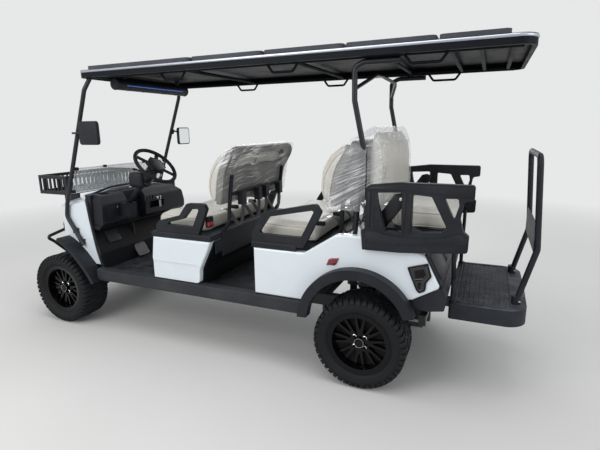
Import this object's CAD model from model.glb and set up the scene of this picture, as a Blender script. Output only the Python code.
"""Looks of a six-seat lifted golf cart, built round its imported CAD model.

Sizes in the tables are millimetres at the same stations as the CAD source: X rearward from
the front axle, Y to the cart's right of its centre plane and Z up from the ground.
"""

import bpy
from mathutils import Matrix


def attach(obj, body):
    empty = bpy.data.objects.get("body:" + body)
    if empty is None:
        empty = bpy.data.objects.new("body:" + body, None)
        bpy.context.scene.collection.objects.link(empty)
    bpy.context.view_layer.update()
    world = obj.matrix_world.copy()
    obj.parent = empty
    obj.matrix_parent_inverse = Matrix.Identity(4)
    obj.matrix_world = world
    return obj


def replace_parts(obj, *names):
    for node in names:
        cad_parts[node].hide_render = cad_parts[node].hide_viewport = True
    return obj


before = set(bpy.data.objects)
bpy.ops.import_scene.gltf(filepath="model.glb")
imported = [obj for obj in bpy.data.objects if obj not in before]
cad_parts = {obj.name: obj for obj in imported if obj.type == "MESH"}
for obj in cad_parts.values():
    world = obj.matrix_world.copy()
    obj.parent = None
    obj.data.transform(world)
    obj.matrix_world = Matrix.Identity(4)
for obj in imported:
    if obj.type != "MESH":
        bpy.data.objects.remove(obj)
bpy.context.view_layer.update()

import logging
import math
from dataclasses import dataclass, field
from enum import Enum
from typing import Optional, Sequence, Union

import bmesh
import bpy
from mathutils import Matrix, Vector, noise
from mathutils.bvhtree import BVHTree

LOG = logging.getLogger("golf_cart")
# The row frame's origin, in station millimetres.
ORIGIN = Vector((1551.6, 65.0, 0.0))
MM = 0.001
# Tubes are smoothed over edges up to this angle, in degrees.
ROUND = 60.0
Point = tuple[float, float, float]
Colour = tuple[float, float, float]
Outline = Sequence[tuple[float, float]]
SIDES = ((-1, "left"), (1, "right"))
REARWARD = Vector((1, 0, 0))


def station(x: float, y: float, z: float) -> Vector:
    """Turns station millimetres into row-frame metres.

    Args:
        x: Distance rearward of the front axle.
        y: Distance right of the centre plane.
        z: Height above the ground.

    Returns:
        The point in the row frame.
    """
    return (Vector((x, y, z)) - ORIGIN) * MM


def placed(name: str, data: bpy.types.ID) -> bpy.types.Object:
    """Makes an object of a mesh, lamp or camera and puts it in the scene.

    Args:
        name: The object's name.
        data: Its mesh, lamp or camera.

    Returns:
        The object.
    """
    piece = bpy.data.objects.new(name, data)
    bpy.context.scene.collection.objects.link(piece)
    return piece


class Body(Enum):
    """The bodies of the cart that a piece can ride on."""

    CHASSIS = "chassis"
    WHEEL = "steering_wheel"
    REAR_SEAT = "rear_seat"
    FRONT_LEFT = "wheel_front_left"
    FRONT_RIGHT = "wheel_front_right"
    REAR_LEFT = "wheel_rear_left"
    REAR_RIGHT = "wheel_rear_right"


class Signal:
    """A node's output socket that Python's operators can combine."""

    def __init__(self, bench: "Bench", socket: bpy.types.NodeSocket) -> None:
        """Keeps the socket and the bench that its node lies on."""
        self.bench = bench
        self.socket = socket

    def _math(self, operation: str, *values: "Value") -> "Signal":
        """Adds one Math node on these values."""
        settings = {"operation": operation}
        return self.bench.add("ShaderNodeMath", settings, dict(enumerate(values)))[0]

    def __add__(self, other: "Value") -> "Signal":
        """Sum of two values."""
        return self._math("ADD", self, other)

    def __radd__(self, other: "Value") -> "Signal":
        """Sum with a plain number on the left."""
        return self._math("ADD", other, self)

    def __sub__(self, other: "Value") -> "Signal":
        """Difference of two values."""
        return self._math("SUBTRACT", self, other)

    def __rsub__(self, other: "Value") -> "Signal":
        """Difference from a plain number."""
        return self._math("SUBTRACT", other, self)

    def __mul__(self, other: "Value") -> "Signal":
        """Product of two values."""
        return self._math("MULTIPLY", self, other)

    def __rmul__(self, other: "Value") -> "Signal":
        """Product with a plain number on the left."""
        return self._math("MULTIPLY", other, self)

    def __pow__(self, power: "Value") -> "Signal":
        """Power of a value."""
        return self._math("POWER", self, power)

    def wave(self) -> "Signal":
        """Sine of the value."""
        return self._math("SINE", self)

    def size(self) -> "Signal":
        """Value without its sign."""
        return self._math("ABSOLUTE", self)

    def most(self, other: "Value") -> "Signal":
        """Larger of two values."""
        return self._math("MAXIMUM", self, other)

    def cap(self) -> "Signal":
        """Value held between 0 and 1."""
        return self._math("MINIMUM", self.most(0.0), 1.0)


Value = Union[Signal, float, int]
Tint = Union[Signal, Colour]


class Bench:
    """The node tree of one material or world."""

    def __init__(self, owner: bpy.types.ID) -> None:
        """Starts an empty tree on its owner.

        Args:
            owner: The material or world.
        """
        self.owner = owner
        owner.use_nodes = True
        self.tree = owner.node_tree
        self.tree.nodes.clear()
        self._space: Optional[Signal] = None

    def add(self, kind: str, settings: Optional[dict] = None,
            inputs: Optional[dict] = None) -> "Outputs":
        """Adds one node.

        Args:
            kind: Blender's type name of the node.
            settings: Properties of the node.
            inputs: Values or signals by socket name or number.

        Returns:
            The node's outputs.
        """
        node = self.tree.nodes.new(kind)
        for key, value in (settings or {}).items():
            setattr(node, key, value)
        for key, value in (inputs or {}).items():
            socket = node.inputs[key]
            if isinstance(value, Signal):
                self.tree.links.new(value.socket, socket)
            elif isinstance(value, tuple) and len(value) == 3 and socket.type == "RGBA":
                socket.default_value = (*value, 1.0)
            else:
                socket.default_value = value
        return Outputs(self, node)

    def space(self) -> Signal:
        """Object coordinates, in metres.

        Returns:
            The coordinates as a signal.
        """
        if self._space is None:
            self._space = self.add("ShaderNodeTexCoord")["Object"]
        return self._space

    def split(self) -> tuple[Signal, Signal, Signal]:
        """The three object coordinates."""
        parts = self.add("ShaderNodeSeparateXYZ", None, {0: self.space()})
        return parts[0], parts[1], parts[2]

    def stretched(self, factors: Point) -> Signal:
        """Object coordinates scaled by three factors."""
        return self.add("ShaderNodeVectorMath", {"operation": "MULTIPLY"},
                        {0: self.space(), 1: factors})[0]

    def cloud(self, scale: float, detail: float = 3.0, rough: float = 0.55,
              vector: Optional[Signal] = None) -> Signal:
        """Soft noise between 0 and 1.

        Args:
            scale: Features per metre.
            detail: Octaves of finer noise.
            rough: Strength of each finer octave.
            vector: Coordinates, where they aren't the plain object ones.

        Returns:
            The noise value.
        """
        place = self.space() if vector is None else vector
        return self.add("ShaderNodeTexNoise", {"noise_dimensions": "3D"},
                        {"Vector": place, "Scale": scale, "Detail": detail, "Roughness": rough})[0]

    def cells(self, scale: float, feature: str = "F1") -> Signal:
        """Distance to the nearest of scattered points.

        Args:
            scale: Points per metre.
            feature: Which distance of Blender's Voronoi texture is taken.

        Returns:
            The distance value.
        """
        return self.add("ShaderNodeTexVoronoi", {"feature": feature},
                        {"Vector": self.space(), "Scale": scale})["Distance"]

    def ramp(self, value: Signal, low: float, high: float) -> Signal:
        """Maps a value from low..high to 0..1, held at both ends."""
        return self.add("ShaderNodeMapRange", {"clamp": True},
                        {"Value": value, "From Min": low, "From Max": high})[0]

    def tint(self, share: Value, first: Tint, second: Tint) -> Signal:
        """Mixes two colours by a share of the second."""
        return self.add("ShaderNodeMix", {"data_type": "RGBA"},
                        {0: share, 6: first, 7: second})[2]

    def bump(self, height: Signal, depth: float, strength: float = 1.0) -> Signal:
        """Turns a height between 0 and 1 into a normal, for relief of this depth in metres."""
        return self.add("ShaderNodeBump", None,
                        {"Height": height, "Distance": depth, "Strength": strength})[0]

    def surface(self, **sockets: Union[Value, Tint]) -> Signal:
        """Adds the surface shader.

        Args:
            sockets: Values by socket name, with underscores for spaces.

        Returns:
            The shader's output.
        """
        named = {key.replace("_", " "): value for key, value in sockets.items()}
        return self.add("ShaderNodeBsdfPrincipled", None, named)[0]

    def finish(self, shader: Signal, kind: str = "ShaderNodeOutputMaterial") -> None:
        """Links a shader to the tree's output."""
        self.add(kind, None, {"Surface": shader})

    def coat(self, **sockets: Union[Value, Tint]) -> None:
        """Ends the tree with the surface shader; see surface."""
        self.finish(self.surface(**sockets))


class Outputs:
    """The outputs of one node, by name or number."""

    def __init__(self, bench: Bench, node: bpy.types.Node) -> None:
        """Keeps the bench and the node."""
        self.bench = bench
        self.node = node

    def __getitem__(self, key: Union[str, int]) -> Signal:
        """The output of that name or number as a signal."""
        return Signal(self.bench, self.node.outputs[key])


@dataclass(frozen=True)
class Finish:
    """A surface finish, which makes its material once."""

    name: str

    def material(self) -> bpy.types.Material:
        """The finish's material, made at the first call.

        Returns:
            The material.
        """
        found = bpy.data.materials.get(self.name)
        if found is None:
            found = bpy.data.materials.new(self.name)
            self.lay(Bench(found))
        return found

    def lay(self, bench: Bench) -> None:
        """Lays the finish's nodes on the bench."""
        raise NotImplementedError


@dataclass(frozen=True)
class GlossPaint(Finish):
    """Glossy body paint under a clear coat, with a trace of orange peel and road dust."""

    colour: Colour = (0.71, 0.78, 0.835)
    dust: Colour = (0.46, 0.46, 0.44)
    dusty: float = 0.12

    def lay(self, bench: Bench) -> None:
        """Lays paint, dust low down and the coat.

        Args:
            bench: The bench of the finish's material.
        """
        _, _, height = bench.split()
        low = 1.0 - bench.ramp(height, 0.45, 0.80)
        smear = bench.ramp(bench.cloud(9.0, 5.0, 0.6), 0.42, 0.75)
        share = (low * self.dusty + 0.03) * smear
        colour = bench.tint(share, self.colour, self.dust)
        rough = 0.30 + share * 1.2
        peel = bench.bump(bench.cloud(320.0, 2.0), 0.00002, 0.4)
        bench.coat(Base_Color=colour, Roughness=rough, Normal=peel,
                   Coat_Weight=0.8, Coat_Roughness=0.13)


@dataclass(frozen=True)
class GrainedPlastic(Finish):
    """Moulded plastic with a leather-like grain, greyed by dust and handling."""

    colour: Colour = (0.010, 0.012, 0.016)
    worn: Colour = (0.030, 0.034, 0.042)
    grain: float = 900.0
    depth: float = 0.00022
    rough: float = 0.50
    wear: float = 0.6
    shine: float = 0.24
    crown: float = 9.0
    crown_tint: Colour = (0.115, 0.122, 0.142)

    def lay(self, bench: Bench) -> None:
        """Lays the grain, its worn high spots, a dust veil and a paler crown.

        Args:
            bench: The bench of the finish's material.
        """
        _, _, height = bench.split()
        pebbles = bench.cells(self.grain)
        veil = bench.ramp(bench.cloud(5.0, 6.0, 0.62), 0.45, 0.78)
        colour = bench.tint(veil * self.wear, self.colour, self.worn)
        crest = bench.ramp(height, self.crown, self.crown + 0.003) * (0.62 + veil * 0.38)
        colour = bench.tint(crest, colour, self.crown_tint)
        rough = self.rough + (veil - 0.5) * 0.16 + pebbles * 0.08
        bench.coat(Base_Color=colour, Roughness=rough,
                   Normal=bench.bump(pebbles, self.depth),
                   Specular_IOR_Level=self.shine)


@dataclass(frozen=True)
class CoatedSteel(Finish):
    """Powder-coated or painted steel: a smooth skin with a fine orange peel and scuffs."""

    colour: Colour = (0.009, 0.010, 0.013)
    rough: float = 0.34
    scuff: Colour = (0.045, 0.046, 0.050)
    coat: float = 0.10
    shine: float = 0.30

    def lay(self, bench: Bench) -> None:
        """Lays the coat with fine scratches and thin dust.

        Args:
            bench: The bench of the finish's material.
        """
        streaks = bench.cloud(60.0, 6.0, 0.7, bench.stretched((1.0, 1.0, 0.25)))
        marks = bench.ramp(streaks, 0.60, 0.78)
        colour = bench.tint(marks * 0.35, self.colour, self.scuff)
        peel = bench.bump(bench.cloud(420.0, 2.0), 0.00012, 0.7)
        bench.coat(Base_Color=colour, Roughness=self.rough + marks * 0.2,
                   Normal=peel, Coat_Weight=self.coat, Coat_Roughness=0.08,
                   Specular_IOR_Level=self.shine)


@dataclass(frozen=True)
class BareMetal(Finish):
    """Plated, cast or machined metal."""

    colour: Colour = (0.62, 0.62, 0.63)
    rough: float = 0.24
    stain: Colour = (0.30, 0.28, 0.26)
    stained: float = 0.25
    metallic: float = 1.0
    relief: float = 0.00008

    def lay(self, bench: Bench) -> None:
        """Lays the metal with blotches of stain and a fine relief.

        Args:
            bench: The bench of the finish's material.
        """
        blotch = bench.ramp(bench.cloud(34.0, 5.0, 0.65), 0.48, 0.80)
        colour = bench.tint(blotch * self.stained, self.colour, self.stain)
        rough = self.rough + blotch * 0.22
        relief = bench.bump(bench.cloud(520.0, 3.0), self.relief)
        bench.coat(Base_Color=colour, Metallic=self.metallic, Roughness=rough,
                   Normal=relief)


@dataclass(frozen=True)
class SeatVinyl(Finish):
    """Soft upholstery vinyl with a pebble grain and faint creases."""

    colour: Colour = (0.61, 0.595, 0.545)
    shade: Colour = (0.47, 0.455, 0.405)
    grain: float = 620.0

    def lay(self, bench: Bench) -> None:
        """Lays the grain, the creases and the soft tonal drift.

        Args:
            bench: The bench of the finish's material.
        """
        pebbles = bench.cells(self.grain, "SMOOTH_F1")
        creases = bench.ramp(bench.cells(26.0, "DISTANCE_TO_EDGE"), 0.0, 0.05)
        drift = bench.cloud(7.0, 4.0)
        colour = bench.tint(bench.ramp(drift, 0.35, 0.80) * 0.45, self.colour, self.shade)
        relief = pebbles * 0.35 + creases * 0.25 + bench.cloud(70.0, 3.0) * 0.6
        rough = 0.42 + drift * 0.14
        bench.coat(Base_Color=colour, Roughness=rough, Sheen_Weight=0.15,
                   Normal=bench.bump(relief, 0.0006))


@dataclass(frozen=True)
class WrapFilm(Finish):
    """Thin clear packing film: almost nothing face on, bright and milky along its wrinkles."""

    veil: float = 0.08
    crease: float = 0.66

    def lay(self, bench: Bench) -> None:
        """Lays long taut streaks as milky lines over a nearly clear film.

        Args:
            bench: The bench of the finish's material.
        """
        x, y, z = bench.split()
        sway = (bench.cloud(2.0, 1.0) - 0.5) * 0.11
        across = z * 0.92 - y * 0.11 - x * 0.42 + sway
        along = x * 0.6 + y * 0.9 + z * 0.3
        taut = bench.add("ShaderNodeCombineXYZ", None, {0: across * 20.0, 1: along * 1.5})[0]
        close = bench.add("ShaderNodeCombineXYZ", None, {0: across * 52.0, 1: along * 2.6})[0]
        drift = bench.cloud(5.0, 3.0, 0.5)
        broad = 1.0 - bench.ramp((bench.cloud(1.0, 2.0, 0.5, taut) - 0.5).size(), 0.0, 0.024)
        thin = 1.0 - bench.ramp((bench.cloud(1.0, 2.0, 0.5, close) - 0.5).size(), 0.0, 0.036)
        lines = (broad + thin * 0.6).cap()
        alpha = (lines * self.crease * bench.ramp(drift, 0.36, 0.66) + self.veil
                 + bench.ramp(drift, 0.45, 0.8) * 0.12).cap()
        relief = bench.bump(bench.cloud(1.0, 3.0, 0.6, close) + bench.cloud(40.0) * 0.3, 0.003)
        bench.coat(Base_Color=(0.86, 0.88, 0.90), Roughness=0.18, Alpha=alpha,
                   Normal=relief, Specular_IOR_Level=0.6)


@dataclass(frozen=True)
class TyreRubber(Finish):
    """Black rubber with a grey bloom and pale dust in the tread."""

    colour: Colour = (0.009, 0.010, 0.012)
    bloom: Colour = (0.020, 0.022, 0.026)

    def lay(self, bench: Bench) -> None:
        """Lays the bloom, thicker on the tread, and a fine moulded relief.

        Args:
            bench: The bench of the finish's material.
        """
        patches = bench.ramp(bench.cloud(14.0, 6.0, 0.65), 0.38, 0.78)
        colour = bench.tint(patches * 0.5, self.colour, self.bloom)
        relief = bench.cloud(260.0, 4.0) * 0.7 + bench.cells(700.0) * 0.3
        bench.coat(Base_Color=colour, Roughness=0.62 + patches * 0.2,
                   Normal=bench.bump(relief, 0.0004), Specular_IOR_Level=0.2)


@dataclass(frozen=True)
class LampLens(Finish):
    """Moulded lamp or window plastic: tinted, glossy, ribbed inside."""

    colour: Colour = (0.02, 0.02, 0.022)
    alpha: float = 1.0
    ribs: float = 420.0
    rough: float = 0.08
    glow: Colour = (0.0, 0.0, 0.0)
    power: float = 0.0
    coat: float = 0.6

    def lay(self, bench: Bench) -> None:
        """Lays the tint with moulded ribs and a thin haze.

        Args:
            bench: The bench of the finish's material.
        """
        _, side, _ = bench.split()
        rib = (side * self.ribs * 2.0).wave() * 0.5 + 0.5
        haze = bench.ramp(bench.cloud(22.0, 4.0), 0.40, 0.80)
        pale = tuple(min(1.0, c * 2.2 + 0.03) for c in self.colour)
        colour = bench.tint(haze * 0.15 + rib * 0.10, self.colour, pale)
        bench.coat(Base_Color=colour, Roughness=self.rough + haze * 0.10,
                   Alpha=self.alpha, Normal=bench.bump(rib, 0.0003, 0.6),
                   Coat_Weight=self.coat, Coat_Roughness=0.04,
                   Emission_Color=self.glow, Emission_Strength=self.power)


@dataclass(frozen=True)
class WovenWebbing(Finish):
    """Belt webbing: fine diagonal ribs with frayed light along them."""

    colour: Colour = (0.010, 0.011, 0.014)
    light: Colour = (0.036, 0.038, 0.043)

    def lay(self, bench: Bench) -> None:
        """Lays two crossed rib patterns.

        Args:
            bench: The bench of the finish's material.
        """
        x, y, z = bench.split()
        warp = ((x + y) * 3600.0).wave() * 0.5 + 0.5
        weft = ((z - y) * 2200.0).wave() * 0.5 + 0.5
        weave = warp * 0.6 + weft * 0.4
        colour = bench.tint(weave * 0.7, self.colour, self.light)
        bench.coat(Base_Color=colour, Roughness=0.72, Sheen_Weight=0.3,
                   Normal=bench.bump(weave, 0.0005))


@dataclass(frozen=True)
class MatPlastic(Finish):
    """Black tread moulding: a square grid of raised studs on a matt plate."""

    colour: Colour = (0.012, 0.013, 0.016)
    dust: Colour = (0.070, 0.072, 0.076)
    bare: float = 0.0

    def lay(self, bench: Bench) -> None:
        """Lays dust that settles on level faces, and a coarse grain.

        Args:
            bench: The bench of the finish's material.
        """
        facing = bench.add("ShaderNodeNewGeometry")[1]
        level = bench.ramp(bench.add("ShaderNodeSeparateXYZ", None, {0: facing})[2], 0.5, 0.9)
        fallen = 1.0 - (1.0 - level) * self.bare
        dirt = bench.ramp(bench.cloud(11.0, 6.0, 0.65), 0.35, 0.75) * fallen
        colour = bench.tint(dirt * 0.55, self.colour, self.dust)
        grain = bench.cells(600.0)
        bench.coat(Base_Color=colour, Roughness=0.58 + dirt * 0.2,
                   Normal=bench.bump(grain, 0.0003),
                   Specular_IOR_Level=0.2)


BODY_WHITE = GlossPaint("body_white_paint")
ROOF_BLACK = GrainedPlastic("roof_black_moulding", (0.006, 0.007, 0.010), (0.016, 0.018, 0.023),
                            700.0, 0.00018, 0.50, 0.4, 0.10, 2.017)
RAIL_BLACK = GrainedPlastic("roof_rail_black", (0.004, 0.005, 0.007), (0.012, 0.013, 0.017),
                            700.0, 0.00018, 0.60, 0.4, 0.10)
ROOF_LIP = BareMetal("roof_satin_lip", (0.46, 0.49, 0.55), 0.36, (0.32, 0.35, 0.39), 0.15)
TRIM_BLACK = GrainedPlastic("trim_black_moulding")
DASH_BLACK = GrainedPlastic("dash_black_moulding", (0.007, 0.008, 0.012), (0.022, 0.025, 0.031),
                            1100.0, 0.00025, 0.46, 0.5)
SKIRT_GREY = GrainedPlastic("skirt_charcoal_moulding", (0.026, 0.029, 0.034),
                            (0.060, 0.062, 0.066), 800.0, 0.0002, 0.52, 0.7)
SHELL_TAUPE = GrainedPlastic("back_shell_taupe", (0.120, 0.116, 0.104), (0.170, 0.165, 0.152),
                             800.0, 0.0002, 0.42, 0.6)
PANEL_TRIM = GrainedPlastic("panel_edge_trim", (0.012, 0.013, 0.016), (0.03, 0.03, 0.035))
FLOOR_MAT = MatPlastic("floor_mat_black", (0.003, 0.0035, 0.005), (0.075, 0.080, 0.092), 1.0)
STEP_PLATE = MatPlastic("step_plate_black", (0.018, 0.021, 0.028), (0.220, 0.232, 0.262), 0.9)
FRAME_COAT = CoatedSteel("frame_black_coat")
STRUT_COAT = CoatedSteel("strut_satin_coat", (0.014, 0.016, 0.020), 0.40, (0.055, 0.057, 0.062),
                         0.08)
RIM_GLOSS = CoatedSteel("rim_gloss_black", (0.002, 0.002, 0.003), 0.14, (0.012, 0.012, 0.013),
                        0.15, 0.16)
CHROME = BareMetal("nut_chrome", (0.80, 0.81, 0.82), 0.10, (0.4, 0.4, 0.4), 0.15)
ZINC = BareMetal("bolt_zinc", (0.62, 0.62, 0.60), 0.28)
CAST_BLACK = BareMetal("axle_cast_black", (0.040, 0.040, 0.040), 0.50, (0.12, 0.09, 0.07), 0.5, 0.5,
                       0.0004)
SPRING_STEEL = BareMetal("spring_painted_steel", (0.05, 0.05, 0.05), 0.45, (0.16, 0.12, 0.08), 0.4,
                         0.5, 0.0003)
MIRROR_FACE = BareMetal("mirror_silver_face", (0.85, 0.87, 0.88), 0.03, (0.7, 0.7, 0.7), 0.1)
CREAM = SeatVinyl("seat_cream_vinyl")
CREAM_PIPING = SeatVinyl("seat_piping_vinyl", (0.53, 0.515, 0.465), (0.41, 0.395, 0.345), 900.0)
FILM = WrapFilm("seat_wrap_film", 0.12, 0.95)
TENT_FILM = WrapFilm("tent_wrap_film", 0.22, 0.72)
TYRE = TyreRubber("tyre_black_rubber")
GRIP = TyreRubber("grip_soft_black", (0.008, 0.009, 0.011), (0.026, 0.027, 0.030))
SMOKED = LampLens("lamp_smoked_lens", (0.004, 0.004, 0.006), coat=0.25)
RED_LENS = LampLens("reflector_red_lens", (0.15, 0.005, 0.014), 1.0, 900.0, 0.14)
CLEAR_LENS = LampLens("lamp_clear_lens", (0.62, 0.64, 0.66), 0.85, 300.0, 0.06)
WINDOW = LampLens("windshield_clear_sheet", (0.70, 0.74, 0.75), 0.20, 0.0, 0.03)
WINDOW_EDGE = LampLens("windshield_bright_edge", (0.78, 0.81, 0.82), 0.85, 0.0, 0.10)
BAR_GLOW = LampLens("sound_bar_blue_band", (0.02, 0.05, 0.16), 1.0, 0.0, 0.15, (0.05, 0.18, 0.85),
                    0.35)
LAMP_BAR = LampLens("tail_lamp_light_bar", (0.045, 0.045, 0.050), 1.0, 700.0, 0.12)
WEBBING = WovenWebbing("belt_black_webbing")
BUCKLE_RED = LampLens("buckle_red_button", (0.30, 0.008, 0.014), 1.0, 0.0, 0.30)
BATTERY_CASE = GrainedPlastic("battery_case_grey", (0.10, 0.10, 0.11), (0.16, 0.16, 0.16))
PEDAL_GREY = MatPlastic("pedal_grey_pad", (0.16, 0.16, 0.165), (0.30, 0.29, 0.28))
PALE_TAG = GrainedPlastic("tag_pale_plastic", (0.45, 0.46, 0.47), (0.36, 0.36, 0.36), 700.0)


def settle(name: str, mesh: bpy.types.Mesh, finish: Finish, body: Body = Body.CHASSIS,
           angle: float = 35.0) -> bpy.types.Object:
    """Makes a mesh a shaded piece that rides on a body.

    Args:
        name: The piece's name.
        mesh: Its mesh, in row-frame metres.
        finish: Its surface finish.
        body: The body it rides on.
        angle: Edges sharper than this stay sharp, in degrees.

    Returns:
        The piece.
    """
    mesh.name = name
    mesh.materials.clear()
    mesh.materials.append(finish.material())
    mesh.polygons.foreach_set("use_smooth", [True] * len(mesh.polygons))
    mesh.set_sharp_from_angle(angle=math.radians(angle))
    piece = placed(name, mesh)
    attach(piece, body.value)
    LOG.info("%s: %d faces", name, len(mesh.polygons))
    return piece


def outward(side: int) -> Vector:
    """Direction out of one side of the cart, -1 for its left and 1 for its right."""
    return Vector((0.0, float(side), 0.0))


def inset(ring: Sequence[tuple[float, float]], by: float) -> list[tuple[float, float]]:
    """Moves a closed outline inward by a distance.

    Args:
        ring: The outline's points.
        by: The distance, in the outline's unit.

    Returns:
        The new outline.
    """
    count = len(ring)
    area = sum(ring[i][0] * ring[(i + 1) % count][1] - ring[(i + 1) % count][0] * ring[i][1]
               for i in range(count))
    turn = 1.0 if area > 0 else -1.0
    made = []
    for i in range(count):
        before, here, after = (Vector(ring[(i + k) % count]) for k in (-1, 0, 1))
        one = (here - before).normalized()
        two = (after - here).normalized()
        inward = Vector((-one.y - two.y, one.x + two.x)) * turn
        inward.normalize()
        lean = max(0.6, inward.dot(Vector((-one.y, one.x)) * turn))
        made.append(tuple(here + inward * (by / lean)))
    return made


def outline_at(points: Outline, y: float) -> list[Vector]:
    """Side-view points at one distance across the cart."""
    return [station(x, y, z) for x, z in points]


def rounded_loop(half_w: float, half_h: float, radius: float, steps: int = 5) -> list[tuple]:
    """Outline of a rounded rectangle round the origin, in the units of its sizes.

    Args:
        half_w: Half its width.
        half_h: Half its height.
        radius: Radius of its corners.
        steps: Segments of each corner.

    Returns:
        The outline's points.
    """
    loop = []
    for sx, sy, start in ((1, 1, 0.0), (-1, 1, 0.5), (-1, -1, 1.0), (1, -1, 1.5)):
        for k in range(steps + 1):
            turn = math.pi * (start + 0.5 * k / steps)
            loop.append((sx * (half_w - radius) + radius * math.cos(turn),
                         sy * (half_h - radius) + radius * math.sin(turn)))
    return loop


def even_path(points: Sequence[Vector], spacing: float, closed: bool = False,
              passes: int = 3) -> list[Vector]:
    """Walks a line in even steps and eases its corners.

    Args:
        points: The line's points, in metres.
        spacing: Length of a step, in metres.
        closed: The line comes back to its start.
        passes: How many times each point moves towards its neighbours.

    Returns:
        The new points.
    """
    chain = list(points) + ([points[0]] if closed else [])
    total = sum((b - a).length for a, b in zip(chain, chain[1:]))
    count = max(4, round(total / spacing))
    made = []
    for k in range(count if closed else count + 1):
        want = total * k / count
        for a, b in zip(chain, chain[1:]):
            run = (b - a).length
            if want <= run or b is chain[-1]:
                made.append(a.lerp(b, min(1.0, want / run) if run else 0.0))
                break
            want -= run
    for _ in range(passes):
        if closed:
            made = [(made[i - 1] + made[i] * 2 + made[(i + 1) % count]) / 4 for i in range(count)]
        else:
            made = ([made[0]] + [(a + b * 2 + c) / 4 for a, b, c in zip(made, made[1:], made[2:])]
                    + [made[-1]])
    return made


def eased(points: Sequence[Point], spacing: float, passes: int = 3) -> list[Vector]:
    """Eased line through points given in station millimetres."""
    return even_path([station(*p) for p in points], spacing, False, passes)


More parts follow.
